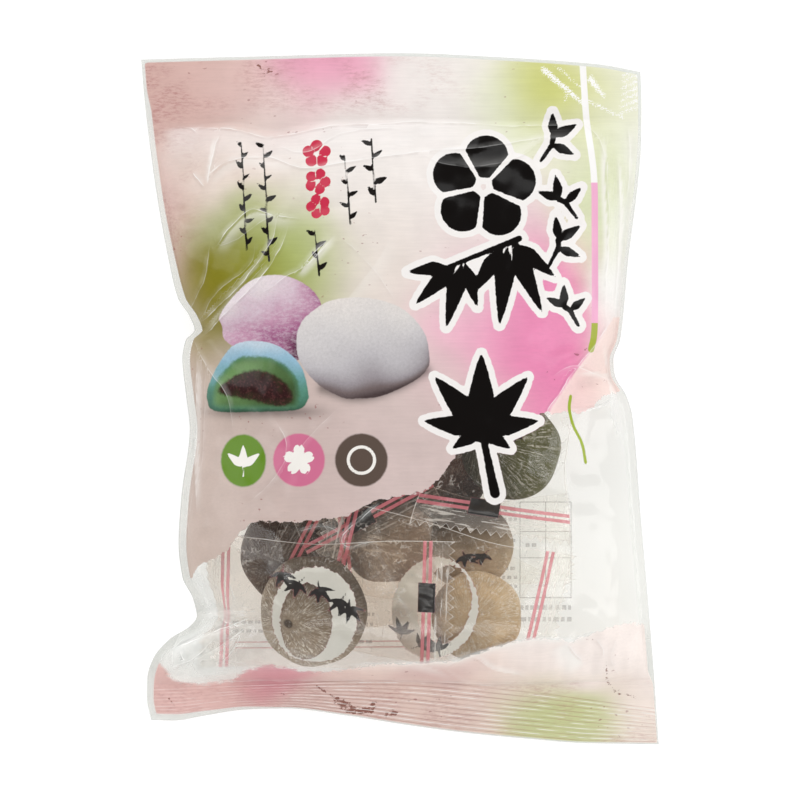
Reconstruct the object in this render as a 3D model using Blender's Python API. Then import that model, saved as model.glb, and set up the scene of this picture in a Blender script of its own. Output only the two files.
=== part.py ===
"""A sealed plastic bag of wrapped rice cakes, lying on its back with the printed front up.

Units are metres with +Z up. +Y runs towards the bag's top seal and +X to its right-hand side.
The origin is the middle of the bag's bounding box, on the surface that it lies on.
All the dimensions below are in millimetres, and MM turns them into metres.

The bag is one closed body. A front sheet and a back sheet are shaped from two flat grids that
share one outline, and the rim between them is bridged. The front follows the pillow of the
filling, the wrapped cakes that push it up, the folds of the film and the ribs of the seals.
"""

import bmesh
import bpy
import numpy as np

MM = 0.001

# Outline. The sides are given as (distance along the bag, position across it), from the bottom
# seal to the top one, and the ends as (position across the bag, distance along it).
LEFT_SIDE = [
    (-116, -87.4), (-106, -89.4), (-99, -89.2), (-92, -87.0), (-85, -81.0), (-80.5, -73.9),
    (-77, -71.4), (-70.5, -72.8), (-63, -76.5), (-51, -77.9), (-35, -77.0), (-10, -74.0),
    (1, -75.2), (15, -76.6), (21.5, -75.4), (25, -72.2), (30, -74.0), (36.5, -78.1),
    (50.5, -81.5), (79, -86.6), (107, -90.2), (123, -91.6),
]
RIGHT_SIDE = [
    (-124, 93.6), (-99, 91.8), (-85, 90.6), (-42, 86.9), (-6, 83.8), (1, 81.9), (9.5, 77.4),
    (14.5, 77.0), (22, 79.5), (50.5, 82.4), (79, 86.0), (93, 87.1), (107, 87.3), (119, 86.9),
]
TOP_END = [(-91.6, 121.8), (-49, 123.1), (0, 124.1), (37, 122.6), (72, 120.2), (86.9, 117.5)]
BOTTOM_END = [
    (-87.4, -114.2), (-80, -114.4), (-68, -112.5), (-54, -110.5), (-40, -110.1), (-18, -112.6),
    (3, -115.8), (24, -118.6), (46, -120.8), (67, -122.5), (93.6, -123.0),
]

# Seals: flat bands round the bag, the bottom one pressed into ribs. The inner edges of the two end
# seals are given like the ends.
TOP_SEAL = [
    (-91.6, 98.0), (-76.5, 97.5), (-59.5, 99.0), (-43.5, 96.2), (-24, 99.6), (8, 100.0),
    (37, 99.2), (79, 100.4),
]
BOTTOM_SEAL = [(-87.4, -101.5), (-45, -100.0), (0, -100.5), (45, -101.5), (93.6, -99.0)]
SIDE_SEAL = 3.0
RIBS = 10
RIB_HEIGHT = 0.35
SHEET_GAP = 0.5  # half of the least distance between the front and the back sheet

# Filling: the height of the front above the seam, along the bag, and how far in from the seals it
# reaches that height.
FULLNESS = [(-100, 24.0), (-62, 25.0), (-30, 24.5), (0, 22.0), (30, 20.0), (60, 18.0), (100, 16.0)]
SIDE_SHOULDER = 44.0
BOTTOM_SHOULDER = 26.0
TOP_SHOULDER = 58.0
SHOULDER_POWER = 0.72
SEAM_HEIGHT = 8.0  # the seam's height above the floor, away from the corners
SEAM_SAG = 4.2  # how far the seam comes down towards the two ends
BACK_CURL = 17.0  # how far in from the seals the back reaches the floor
RIPPLE = 1.1  # the slow waves of the seams

# Wrapped cakes that lift the film: (across, along, radius, lift).
CAKES = [
    (-29, -71, 20, 6.0), (30, -72, 20, 5.5), (43, -22, 20, 6.0), (-42, -52, 18, 2.5),
    (0, -48, 18, 2.0), (-22, -12, 20, 3.5), (12, 6, 20, 3.0), (-48, 8, 19, 3.0),
]

# Folds of the film: (from across, from along, to across, to along, width, height).
FOLDS = [
    (-76, 22, -34, 56, 4.5, 2.6), (-72, 26, -44, 48, 3.0, -2.4), (-72, 24, -52, 8, 4.0, -2.2),
    (77, 12, 52, -4, 4.5, -3.0), (79, 24, 60, 6, 4.0, 2.4), (80, 2, 62, -6, 3.5, 1.8),
    (73, 22, 76, 88, 3.2, 1.8), (-72, -77, -48, -76, 4.0, -2.6), (-84, -92, -55, -76, 4.5, 2.4),
    (-78, -84, -58, -90, 3.5, -1.8), (-70, 76, -64, 98, 3.5, 2.0), (-70, 76, -54, 88, 3.5, -1.6),
    (-62, 56, -34, 72, 3.5, 1.6), (-34, 66, -6, 74, 3.5, -1.4), (-68, 2, -72, -44, 3.2, -1.6),
    (62, -70, 84, -92, 4.0, 1.6), (40, 98, 66, 78, 4.0, -1.4), (4, 98, -12, 80, 4.5, 1.3),
]

# Grid of each sheet.
COLUMNS = 42
BODY_ROWS = 46
TOP_ROWS = 5
FLAT_ANGLE = np.radians(1.2)  # back faces that bend less than this are merged

FILM_COLOUR = (0.83, 0.70, 0.68, 1.0)


def curve(points, at):
    """The smooth line through the points, without overshoot, at each position in at."""
    x, y = np.array(points, float).T
    slope = np.diff(y) / np.diff(x)
    tangent = np.concatenate([slope[:1], np.zeros(len(x) - 2), slope[-1:]])
    rising = slope[1:] * slope[:-1] > 0
    harmonic = 2 * slope[1:] * slope[:-1] / np.where(rising, slope[1:] + slope[:-1], 1)
    tangent[1:-1] = np.where(rising, harmonic, 0)
    at = np.clip(at, x[0], x[-1])
    k = np.clip(np.searchsorted(x, at) - 1, 0, len(x) - 2)
    step = x[k + 1] - x[k]
    t = (at - x[k]) / step
    return (
        y[k] * (1 + 2 * t) * (1 - t) ** 2
        + tangent[k] * step * t * (1 - t) ** 2
        + y[k + 1] * t * t * (3 - 2 * t)
        + tangent[k + 1] * step * t * t * (t - 1)
    )


def smooth(low, high, value):
    """0 below low and 1 above high, with an even curve between."""
    t = np.clip((value - low) / (high - low), 0, 1)
    return t * t * (3 - 2 * t)


def outline_point(u, v):
    """Where a point of a sheet lies: u is its share of the way across, and v its place along the
    bag, from 0 to 1 over the bottom seal, on to 2 over the body and on to 3 over the top seal."""
    band = np.clip(np.floor(v).astype(int), 0, 2)
    x = LEFT_SIDE[0][1] + (RIGHT_SIDE[0][1] - LEFT_SIDE[0][1]) * u
    for _ in range(3):  # the ends are lines over x, which itself depends on y
        lines = [curve(line, x) for line in (BOTTOM_END, BOTTOM_SEAL, TOP_SEAL, TOP_END)]
        low, high = np.choose(band, lines[:3]), np.choose(band, lines[1:])
        y = low + (high - low) * (v - band)
        left, right = curve(LEFT_SIDE, y), curve(RIGHT_SIDE, y)
        x = left + (right - left) * u
    return x, y


def insets(x, y):
    """How far a point is from the inner edges of the side, bottom and top seals."""
    from_side = np.minimum(x - curve(LEFT_SIDE, y), curve(RIGHT_SIDE, y) - x) - SIDE_SEAL
    return from_side, y - curve(BOTTOM_SEAL, x), curve(TOP_SEAL, x) - y


def seam_height(x, y):
    """The height of the line where the two sheets meet, which ripples slowly."""
    ends = smooth(60, 124, np.abs(y))
    ripple = np.sin(x / 21 + 0.6) * ends + 0.6 * np.sin(y / 17 + x / 60) * (1 - ends)
    return SEAM_HEIGHT - SEAM_SAG * ends + RIPPLE * ripple


def fold(x, y, from_x, from_y, to_x, to_y, width, height):
    """A ridge, or a valley if height is below 0, that fades along the line of one fold."""
    along = np.hypot(to_x - from_x, to_y - from_y)
    way_x, way_y = (to_x - from_x) / along, (to_y - from_y) / along
    t = ((x - from_x) * way_x + (y - from_y) * way_y) / along
    off = (x - from_x) * way_y - (y - from_y) * way_x
    taper = smooth(-0.12, 0.2, t) * (1 - smooth(0.45, 1.12, t))
    return height * taper * np.exp(-((off / width) ** 2))


def shoulder(inset, width):
    """How the film rises from a seal, from 0 on it to 1 at the shoulder's width from it."""
    inside = np.clip(inset / width, 0, 1)
    return (1 - (1 - inside) ** 2) ** SHOULDER_POWER


def front_height(x, y):
    """The front sheet: pillow, wrapped cakes, folds and ribs."""
    from_side, from_bottom, from_top = insets(x, y)
    edge = shoulder(from_side, SIDE_SHOULDER) * shoulder(from_bottom, BOTTOM_SHOULDER)
    edge *= shoulder(from_top, TOP_SHOULDER)
    rise = curve(FULLNESS, y) * edge
    for cake_x, cake_y, radius, lift in CAKES:
        rise += lift * np.exp(-((x - cake_x) ** 2 + (y - cake_y) ** 2) / radius**2) * edge
    free = smooth(0, 9, from_side) * smooth(0, 8, from_bottom) * smooth(0, 8, from_top)
    rise += free * sum(fold(x, y, *line) for line in FOLDS)
    across_seal = from_bottom / (curve(BOTTOM_SEAL, x) - curve(BOTTOM_END, x))
    ribs = RIB_HEIGHT * (0.5 - 0.5 * np.cos(2 * np.pi * RIBS * np.clip(across_seal, -1, 0)))
    return seam_height(x, y) + np.maximum(rise, 0) + ribs + SHEET_GAP


def back_height(x, y):
    """The back sheet: it curls down from the seals and lies flat on the floor."""
    from_side, from_bottom, from_top = insets(x, y)
    sides = smooth(0, BACK_CURL, from_side)
    ends = smooth(0, BACK_CURL, np.minimum(from_bottom, from_top))
    return (seam_height(x, y) - SHEET_GAP) * (1 - sides * ends)


def row_positions():
    """Where the rows of a sheet lie along the bag, in outline_point's terms."""
    ribs = np.linspace(0, 1, 2 * RIBS + 1)
    body = np.linspace(1, 2, BODY_ROWS + 1)
    top = np.linspace(2, 3, TOP_ROWS + 1)
    return np.concatenate([ribs, body[1:], top[1:]])


def add_sheet(bm, height):
    """Adds a flat grid to bm and gives it the bag's outline and the heights of one sheet."""
    rows = row_positions()
    before = set(bm.verts)
    bmesh.ops.create_grid(bm, x_segments=COLUMNS, y_segments=len(rows) - 1, size=1)
    verts = [v for v in bm.verts if v not in before]
    flat = np.array([v.co[:2] for v in verts])
    u = (flat[:, 0] + 1) / 2
    row = np.rint((flat[:, 1] + 1) / 2 * (len(rows) - 1)).astype(int)
    x, y = outline_point(u, rows[row])
    z = height(x, y)
    for vert, place in zip(verts, np.column_stack([x, y, z]) * MM):
        vert.co = place
    return verts


def build_bag():
    """Both sheets and the rim between them, as one closed mesh."""
    bm = bmesh.new()
    front = set(add_sheet(bm, front_height))
    back = set(add_sheet(bm, back_height))
    bmesh.ops.reverse_faces(bm, faces=[f for f in bm.faces if f.verts[0] in back])
    rims = [e for e in bm.edges if e.is_boundary]
    bmesh.ops.bridge_loops(bm, edges=rims)
    inner = {v for v in back if not any(f.verts[0] in front or f.verts[-1] in front
                                        for f in v.link_faces)}
    bmesh.ops.dissolve_limit(
        bm,
        angle_limit=FLAT_ANGLE,
        verts=list(inner),
        edges=[e for e in bm.edges if e.verts[0] in inner and e.verts[1] in inner],
    )
    bmesh.ops.triangulate(bm, faces=bm.faces)
    centre_box(bm)
    mesh = bpy.data.meshes.new("bag")
    bm.to_mesh(mesh)
    bm.free()
    return mesh


def centre_box(bm):
    """Moves the body so that the middle of its box is over the origin and its foot is at Z 0."""
    places = np.array([v.co[:] for v in bm.verts])
    low, high = places.min(axis=0), places.max(axis=0)
    shift = np.array([-(low[0] + high[0]) / 2, -(low[1] + high[1]) / 2, -low[2]])
    bmesh.ops.translate(bm, vec=shift, verts=bm.verts)


def film_material():
    """Glossy printed plastic film, in the mean colour of the bag's print."""
    material = bpy.data.materials.new("printed_film")
    material.use_nodes = True
    shader = material.node_tree.nodes["Principled BSDF"]
    shader.inputs["Base Color"].default_value = FILM_COLOUR
    shader.inputs["Roughness"].default_value = 0.25
    shader.inputs["Metallic"].default_value = 0.0
    return material


def main():
    for old in list(bpy.data.objects):
        bpy.data.objects.remove(old)
    collection = bpy.data.collections.new("bag_of_rice_cakes")
    bpy.context.scene.collection.children.link(collection)
    mesh = build_bag()
    mesh.materials.append(film_material())
    mesh.shade_smooth()
    collection.objects.link(bpy.data.objects.new("bag", mesh))


main()
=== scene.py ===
"""Looks for a sealed bag of wrapped rice cakes that lies on its back, printed front up.

The closed CAD solid is replaced by the real things: a printed front film with a clear window, a
clear back film with a few printed rules, and round rice cakes in crinkled wrappers.

Lengths are millimetres in the bag's drawing, the same that the solid was made in. Its X runs
across the bag, Y towards the top seal and Z up. place() turns them into metres in the frame.
"""

from dataclasses import dataclass

import bmesh
import bpy
import numpy as np
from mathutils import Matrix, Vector


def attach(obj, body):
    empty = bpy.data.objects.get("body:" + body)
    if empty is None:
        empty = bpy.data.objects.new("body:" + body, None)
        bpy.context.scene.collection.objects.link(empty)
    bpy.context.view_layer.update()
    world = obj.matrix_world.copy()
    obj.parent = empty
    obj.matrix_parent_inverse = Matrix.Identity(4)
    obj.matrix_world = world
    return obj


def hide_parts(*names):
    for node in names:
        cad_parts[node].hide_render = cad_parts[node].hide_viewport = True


MM = 0.001

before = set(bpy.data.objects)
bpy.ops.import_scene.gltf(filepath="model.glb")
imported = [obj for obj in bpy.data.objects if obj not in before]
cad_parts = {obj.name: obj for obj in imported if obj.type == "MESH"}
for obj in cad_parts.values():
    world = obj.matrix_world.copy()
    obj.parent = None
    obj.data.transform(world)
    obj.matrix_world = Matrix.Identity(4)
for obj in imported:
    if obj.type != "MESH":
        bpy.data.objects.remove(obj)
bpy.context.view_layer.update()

# ---------------------------------------------------------------- the bag's shape, as in the solid

LEFT_SIDE = [
    (-116, -87.4), (-106, -89.4), (-99, -89.2), (-92, -87.0), (-85, -81.0), (-80.5, -73.9),
    (-77, -71.4), (-70.5, -72.8), (-63, -76.5), (-51, -77.9), (-35, -77.0), (-10, -74.0),
    (1, -75.2), (15, -76.6), (21.5, -75.4), (25, -72.2), (30, -74.0), (36.5, -78.1),
    (50.5, -81.5), (79, -86.6), (107, -90.2), (123, -91.6),
]
RIGHT_SIDE = [
    (-124, 93.6), (-99, 91.8), (-85, 90.6), (-42, 86.9), (-6, 83.8), (1, 81.9), (9.5, 77.4),
    (14.5, 77.0), (22, 79.5), (50.5, 82.4), (79, 86.0), (93, 87.1), (107, 87.3), (119, 86.9),
]
TOP_END = [(-91.6, 121.8), (-49, 123.1), (0, 124.1), (37, 122.6), (72, 120.2), (86.9, 117.5)]
BOTTOM_END = [
    (-87.4, -114.2), (-80, -114.4), (-68, -112.5), (-54, -110.5), (-40, -110.1), (-18, -112.6),
    (3, -115.8), (24, -118.6), (46, -120.8), (67, -122.5), (93.6, -123.0),
]
TOP_SEAL = [
    (-91.6, 98.0), (-76.5, 97.5), (-59.5, 99.0), (-43.5, 96.2), (-24, 99.6), (8, 100.0),
    (37, 99.2), (79, 100.4),
]
BOTTOM_SEAL = [(-87.4, -101.5), (-45, -100.0), (0, -100.5), (45, -101.5), (93.6, -99.0)]
SIDE_SEAL = 3.0
RIBS = 10
RIB_HEIGHT = 0.18  # the film's ribs are flatter than the solid's
RIB_TOP = [(-87.4, -102.5), (-45, -101), (0, -99.5), (45, -103.5), (93.6, -110)]
SHEET_GAP = 0.5

# How far the pillow rises at each place along the bag.
FULLNESS = [(-100, 24.0), (-62, 25.0), (-30, 24.5), (0, 22.0), (30, 20.0), (60, 18.0), (100, 16.0)]
SIDE_SHOULDER = 44.0
BOTTOM_SHOULDER = 26.0
TOP_SHOULDER = 58.0
SHOULDER_POWER = 0.72
SEAM_HEIGHT = 8.0
SEAM_SAG = 4.2
BACK_CURL = 17.0
RIPPLE = 1.1

# Bulges over the wrapped cakes: (across, along, radius, height).
LIFTS = [
    (-29, -71, 20, 6.0), (30, -72, 20, 5.5), (43, -22, 20, 6.0), (-42, -52, 18, 2.5),
    (0, -48, 18, 2.0), (-22, -12, 20, 3.5), (12, 6, 20, 3.0), (-48, 8, 19, 3.0),
]
# The larger folds: from (across, along) to (across, along), width and height.
FOLDS = [
    (-76, 22, -34, 56, 4.5, 2.6), (-72, 26, -44, 48, 3.0, -2.4), (-72, 24, -52, 8, 4.0, -2.2),
    (77, 12, 52, -4, 4.5, -3.0), (79, 24, 60, 6, 4.0, 2.4), (80, 2, 62, -6, 3.5, 1.8),
    (73, 22, 76, 88, 3.2, 1.8), (-72, -77, -48, -76, 4.0, -2.6), (-84, -92, -55, -76, 4.5, 2.4),
    (-78, -84, -58, -90, 3.5, -1.8), (-70, 76, -64, 98, 3.5, 2.0), (-70, 76, -54, 88, 3.5, -1.6),
    (-62, 56, -34, 72, 3.5, 1.6), (-34, 66, -6, 74, 3.5, -1.4), (-68, 2, -72, -44, 3.2, -1.6),
    (62, -70, 84, -92, 4.0, 1.6), (40, 98, 66, 78, 4.0, -1.4), (4, 98, -12, 80, 4.5, 1.3),
]

TOP_CREASE = [(-85, 96.5), (-76, 97.5), (-60, 97), (-44, 94), (-24, 98), (-8, 98.5), (8, 99.5),
              (40, 98), (60, 98.5), (79, 100)]
WAIST_CREASE = [(77, 30), (71, 21), (63.4, 11.4), (58, 3.6), (53.5, -3), (50, -12)]

# Painted highlights beside folds that catch the light on one side, their left as they run: points, width
# and whiteness.
PAINTED_SHEENS = [
    ([(-64.5, 52), (-58, 61), (-50, 66.5), (-41, 64.5), (-33, 63.5)], -5, 0.32),
    ([(-69, 22), (-58, 36), (-47, 50), (-42, 64)], 2.4, 0.18),
    ([(-36, 43.5), (-29, 51), (-21.5, 59.5)], -3.4, 0.55),
    ([(-68, 76), (-62, 83), (-53, 86), (-42, 84.5), (-34, 82)], -5, 0.3),
    ([(-66, 94), (-67, 84), (-68, 76)], 3.0, 0.35),
    ([(16, 84), (36, 83), (52, 92), (70, 94)], 5, 0.25),
    ([(74.5, 96), (74, 76), (75, 52), (74, 34)], -2.6, 0.75),
    ([(79.5, 90), (80.5, 66), (79.5, 44), (77, 28)], -2.2, 0.6),
    ([(83.5, 96), (84, 76), (82.5, 52)], -1.6, 0.35),
    ([(-30, 20), (-8, 48), (-2, 60)], -7, 0.16),
    ([(72, 22), (75, 8), (76, -6), (82, -20)], 3, 0.4),
    ([(80, 8), (72, 10), (62, 10)], 2.5, 0.4),
    ([(-71, 16), (-71.5, 0), (-72, -20), (-71, -42)], 3.0, 0.3),
    ([(14, -96), (26, -90), (34, -95), (48, -99)], 3.0, 0.35),
    ([(-20, -93), (0, -92), (14, -95), (22, -100)], -4.0, 0.3),
    ([(59.5, -84), (62, -89), (67, -94)], -9.0, 0.7),
    ([(-60, -80), (-72, -84), (-84, -92)], 5.0, 0.4),
    ([(-50, -77), (-60, -76), (-72, -79)], -3.5, 0.4),
    ([(-15, -40), (20, -98), (60, -97)], 2.5, 0.1),
]

# Sharp creases of the film, each a line through points, with its height, width and whiteness, which is
# partly the film's whitening and partly painted highlight.
CREASES = [
    # along the top seal
    (TOP_CREASE, 0.5, 1.2, 1.0),
    ([(-44, 91), (-32, 88.5), (-20, 95), (-6, 97), (6, 96)], 0.5, 1.4, 0.7),
    ([(-68, 76), (-63, 83), (-57.5, 85.5), (-45.5, 86.5), (-34, 82.5), (-22, 84), (-8, 86),
      (8, 88.5), (30, 90), (52, 93.5), (72, 93)], 0.9, 2.2, 0.9),
    ([(-72.6, 81.2), (-70.5, 78), (-68, 75.1)], 0.6, 1.2, 1.0),
    ([(-67.3, 75.5), (-66, 84), (-63.4, 95.8)], 0.7, 1.2, 1.0),
    ([(-66.6, 80.1), (-60.9, 84.7), (-53.4, 86.2)], 0.5, 1.2, 0.9),
    ([(-77.3, 96.8), (-73.7, 97.5), (-71.2, 95)], 0.5, 0.9, 0.9),
    ([(8, 88.5), (16, 84), (30, 83), (44, 87), (52, 93.5)], 0.5, 1.8, 0.5),
    # over the olive cloud
    ([(-64.5, 54), (-58, 62), (-51, 67.5), (-42, 65), (-33, 64)], 1.3, 2.6, 1.0),
    ([(-64.5, 54), (-56, 57), (-47, 64), (-42, 65)], -0.7, 1.8, 0.3),
    ([(-36, 44.5), (-29, 52), (-21.5, 59.5)], 1.0, 1.8, 0.8),
    ([(-50, 36), (-40, 43), (-30, 49), (-21.5, 59.5)], 0.6, 1.6, 0.6),
    ([(-71.5, 26.5), (-57.5, 38.5), (-45.5, 54), (-42, 66)], 1.1, 1.8, 0.9),
    ([(-70, 22), (-60, 31.5), (-47.5, 44), (-41, 54), (-38, 63)], 0.9, 1.5, 0.9),
    ([(-73, 24), (-64, 38), (-52, 48), (-50, 58)], -0.8, 1.8, 0.3),
    ([(-75, 30), (-68, 44), (-66, 56)], 0.7, 1.8, 0.35),
    ([(-21.5, 59.5), (-8, 46), (0, 34)], 0.5, 2.4, 0.3),
    # the left side, down to the window
    ([(-73, 22), (-66, 10), (-60, 2), (-58, -12)], 0.8, 1.8, 0.5),
    ([(-71, 18), (-71.5, 0), (-72, -20), (-71, -42)], 0.9, 1.6, 0.7),
    ([(-68, 12), (-68.5, -6), (-69.5, -28)], -0.6, 1.5, 0.3),
    ([(-74, 12), (-75, -10), (-75, -38), (-73, -52)], 0.6, 1.2, 0.6),
    ([(-43, -6), (-39, -14), (-41, -24), (-52, -36)], 0.7, 1.8, 0.5),
    ([(-20, -2), (-30, -12), (-40, -26)], 0.5, 2.0, 0.3),
    # the waist at the right, and the seal above and below it
    (WAIST_CREASE, 1.8, 2.4, 0.9),
    ([(80, 6), (71, 9), (62, 12), (54, 8)], 0.9, 1.8, 0.6),
    ([(80, 1), (72, -2), (60, -3.5)], 0.7, 1.6, 0.5),
    ([(74, 10), (77, 0), (79, -12)], 0.8, 1.6, 0.5),
    ([(75, 97), (74.8, 80), (75.5, 60), (74, 40), (75, 24)], 1.2, 1.8, 0.9),
    ([(78.5, 88), (79.5, 66), (78.5, 44), (77, 28)], 0.7, 1.4, 0.7),
    ([(82.5, 98), (83, 84), (82, 70)], 0.6, 1.2, 0.6),
    ([(66, 100), (72, 93), (75, 84)], 0.6, 1.5, 0.6),
    ([(81, -8), (83, -30), (85, -56), (87, -80)], 0.7, 1.3, 0.5),
    # the clear corner at the lower left
    ([(-48, -75), (-58, -79), (-70, -84), (-82, -90)], 1.9, 2.4, 1.0),
    ([(-50, -77.5), (-60, -85), (-72, -93)], -1.6, 2.0, 0.7),
    ([(-47, -74), (-60, -74.5), (-72, -77)], 1.3, 1.8, 0.9),
    ([(-54, -78), (-58, -88), (-66, -96)], 1.2, 1.8, 0.8),
    ([(-60, -63), (-56, -72), (-50, -77)], 0.9, 1.8, 0.7),
    ([(-76, -80), (-80, -90), (-79, -98)], 1.1, 1.6, 0.8),
    ([(-84, -96), (-72, -92), (-60, -92), (-50, -94)], 0.9, 1.6, 0.7),
    ([(-71, -66), (-66, -74), (-58, -79)], 0.9, 1.6, 0.6),
    ([(-77.3, -87.6), (-74.4, -92.6), (-67.6, -87.2), (-64.1, -83.7)], 0.6, 1.1, 1.0),
    ([(-65.9, -75.1), (-59.5, -78.7), (-54.8, -79.4), (-50.6, -75.8)], 0.6, 1.1, 1.0),
    ([(-66.6, -89.4), (-62.3, -94.7)], 0.7, 1.2, 0.9),
    ([(-68, -74), (-78, -81), (-87, -89)], -0.8, 1.6, 0.4),
    # over the window and below it
    ([(-5, -35), (-12, -41), (-19, -47), (-17, -51), (-6, -49)], 0.9, 1.6, 0.9),
    ([(-19, -47), (-26, -44), (-36, -46)], 0.6, 1.4, 0.5),
    ([(-52, -97), (-40, -88), (-30, -90), (-14, -97)], 0.6, 1.8, 0.3),
    ([(14, -96), (26, -90), (34, -95), (48, -98)], 0.8, 2.0, 0.3),
    ([(60, -85.5), (62.4, -89), (66, -92.6)], 0.7, 1.2, 0.7),
    ([(70, -84), (73, -88), (72.4, -92)], 0.6, 1.2, 0.5),
    ([(78, -84), (76, -92), (80, -99)], 0.5, 1.8, 0.3),
    ([(-84, -101), (-60, -100.5), (-30, -100), (0, -100), (40, -101), (88, -99.5)], 0.35, 1.0, 0.35),
]


def curve(points, at):
    """The smooth line through the points, without overshoot, at each position in at."""
    x, y = np.array(points, float).T
    slope = np.diff(y) / np.diff(x)
    tangent = np.concatenate([slope[:1], np.zeros(len(x) - 2), slope[-1:]])
    rising = slope[1:] * slope[:-1] > 0
    harmonic = 2 * slope[1:] * slope[:-1] / np.where(rising, slope[1:] + slope[:-1], 1)
    tangent[1:-1] = np.where(rising, harmonic, 0)
    at = np.clip(at, x[0], x[-1])
    k = np.clip(np.searchsorted(x, at) - 1, 0, len(x) - 2)
    step = x[k + 1] - x[k]
    t = (at - x[k]) / step
    return (
        y[k] * (1 + 2 * t) * (1 - t) ** 2
        + tangent[k] * step * t * (1 - t) ** 2
        + y[k + 1] * t * t * (3 - 2 * t)
        + tangent[k + 1] * step * t * t * (t - 1)
    )


def smooth(low, high, value):
    """0 below low and 1 above high, with an even curve between."""
    t = np.clip((value - low) / (high - low), 0, 1)
    return t * t * (3 - 2 * t)


def outline_point(u, v):
    """Where a point of a sheet lies: u is its share of the way across, and v its place along the
    bag, from 0 to 1 over the bottom seal, on to 2 over the body and on to 3 over the top seal."""
    band = np.clip(np.floor(v).astype(int), 0, 2)
    x = LEFT_SIDE[0][1] + (RIGHT_SIDE[0][1] - LEFT_SIDE[0][1]) * u
    for _ in range(3):
        lines = [curve(line, x) for line in (BOTTOM_END, BOTTOM_SEAL, TOP_SEAL, TOP_END)]
        low, high = np.choose(band, lines[:3]), np.choose(band, lines[1:])
        y = low + (high - low) * (v - band)
        left, right = curve(LEFT_SIDE, y), curve(RIGHT_SIDE, y)
        x = left + (right - left) * u
    return x, y


def from_sides(x, y):
    """How far a point is from the nearer side of the bag."""
    return np.minimum(x - curve(LEFT_SIDE, y), curve(RIGHT_SIDE, y) - x)


def insets(x, y):
    """How far a point is from the inner edges of the side, bottom and top seals."""
    return from_sides(x, y) - SIDE_SEAL, y - curve(BOTTOM_SEAL, x), curve(TOP_SEAL, x) - y


def seam_height(x, y):
    """The height of the line where the two sheets meet, which ripples slowly."""
    ends = smooth(60, 124, np.abs(y))
    ripple = np.sin(x / 21 + 0.6) * ends + 0.6 * np.sin(y / 17 + x / 60) * (1 - ends)
    return SEAM_HEIGHT - SEAM_SAG * ends + RIPPLE * ripple


def fold(x, y, from_x, from_y, to_x, to_y, width, height):
    """A ridge, or a valley if height is below 0, that fades along the line of one fold."""
    along = np.hypot(to_x - from_x, to_y - from_y)
    way_x, way_y = (to_x - from_x) / along, (to_y - from_y) / along
    t = ((x - from_x) * way_x + (y - from_y) * way_y) / along
    off = (x - from_x) * way_y - (y - from_y) * way_x
    taper = smooth(-0.12, 0.2, t) * (1 - smooth(0.45, 1.12, t))
    return height * taper * np.exp(-((off / width) ** 2))


def shoulder(inset, width):
    """How the film rises from a seal, from 0 on it to 1 at the shoulder's width from it."""
    inside = np.clip(inset / width, 0, 1)
    return (1 - (1 - inside) ** 2) ** SHOULDER_POWER


def rib_place(x, y):
    """The place across the ribs of the bottom seal: 0 over the first and -1 at the cut edge."""
    first = curve(RIB_TOP, x)
    return (y - first) / (first - curve(BOTTOM_END, x))


def front_height(x, y):
    """The front sheet as in the solid: pillow, wrapped cakes, folds and ribs."""
    from_side, from_bottom, from_top = insets(x, y)
    edge = shoulder(from_side, SIDE_SHOULDER) * shoulder(from_bottom, BOTTOM_SHOULDER)
    edge *= shoulder(from_top, TOP_SHOULDER)
    rise = curve(FULLNESS, y) * edge
    for cake_x, cake_y, radius, lift in LIFTS:
        rise += lift * np.exp(-((x - cake_x) ** 2 + (y - cake_y) ** 2) / radius**2) * edge
    free = smooth(0, 9, from_side) * smooth(0, 8, from_bottom) * smooth(0, 8, from_top)
    rise += free * sum(fold(x, y, *line) for line in FOLDS)
    ribs = RIB_HEIGHT * (0.5 - 0.5 * np.cos(2 * np.pi * RIBS * np.clip(rib_place(x, y), -1, 0)))
    return seam_height(x, y) + np.maximum(rise, 0) + ribs * smooth(-80, -20, x) + SHEET_GAP


def back_height(x, y):
    """The back sheet: it curls down from the seals and lies flat on the floor."""
    from_side, from_bottom, from_top = insets(x, y)
    sides = smooth(0, BACK_CURL, from_side)
    ends = smooth(0, BACK_CURL, np.minimum(from_bottom, from_top))
    return (seam_height(x, y) - SHEET_GAP) * (1 - sides * ends)


# ---------------------------------------------------------------------------- fine relief and lines


def waves(x, y, length, seed, stretch=1.0):
    """Smooth random relief between about -1 and 1, with waves of the given length. A stretch
    above 1 draws them out along Y."""
    rng = np.random.default_rng(seed)
    total = 0.0
    for _ in range(9):
        angle, phase = rng.uniform(0, 2 * np.pi, 2)
        pace = 2 * np.pi / (length * rng.uniform(0.7, 1.5))
        total = total + np.sin(pace * (x * np.cos(angle) + y / stretch * np.sin(angle)) + phase)
    return total / 3.6


def spline(a, b, c, d, t):
    """The smooth line through four points, from b where t is 0 to c where it is 1."""
    return 0.5 * (2 * b + (c - a) * t + (2 * a - 5 * b + 4 * c - d) * t**2
                  + (3 * b - a - 3 * c + d) * t**3)


def from_stretch(x, y, a, b):
    """How far each place is, in X and Y, from the nearest point of the straight stretch from a
    to b, and that point's share along it."""
    way_x, way_y = b[0] - a[0], b[1] - a[1]
    t = np.clip(((x - a[0]) * way_x + (y - a[1]) * way_y) / (way_x**2 + way_y**2), 0, 1)
    return x - a[0] - t * way_x, y - a[1] - t * way_y, t


def smooth_path(points, step=1.0):
    """Points about a step apart along a smooth line through the given ones."""
    points = np.array(points, float)
    ends = np.vstack([2 * points[0] - points[1], points, 2 * points[-1] - points[-2]])
    path = []
    for a, b, c, d in zip(ends, ends[1:], ends[2:], ends[3:]):
        count = max(2, int(np.hypot(*(c - b)) / step))
        t = np.arange(count)[:, None] / count
        path.append(spline(a, b, c, d, t))
    return np.vstack([*path, points[-1]])


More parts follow.
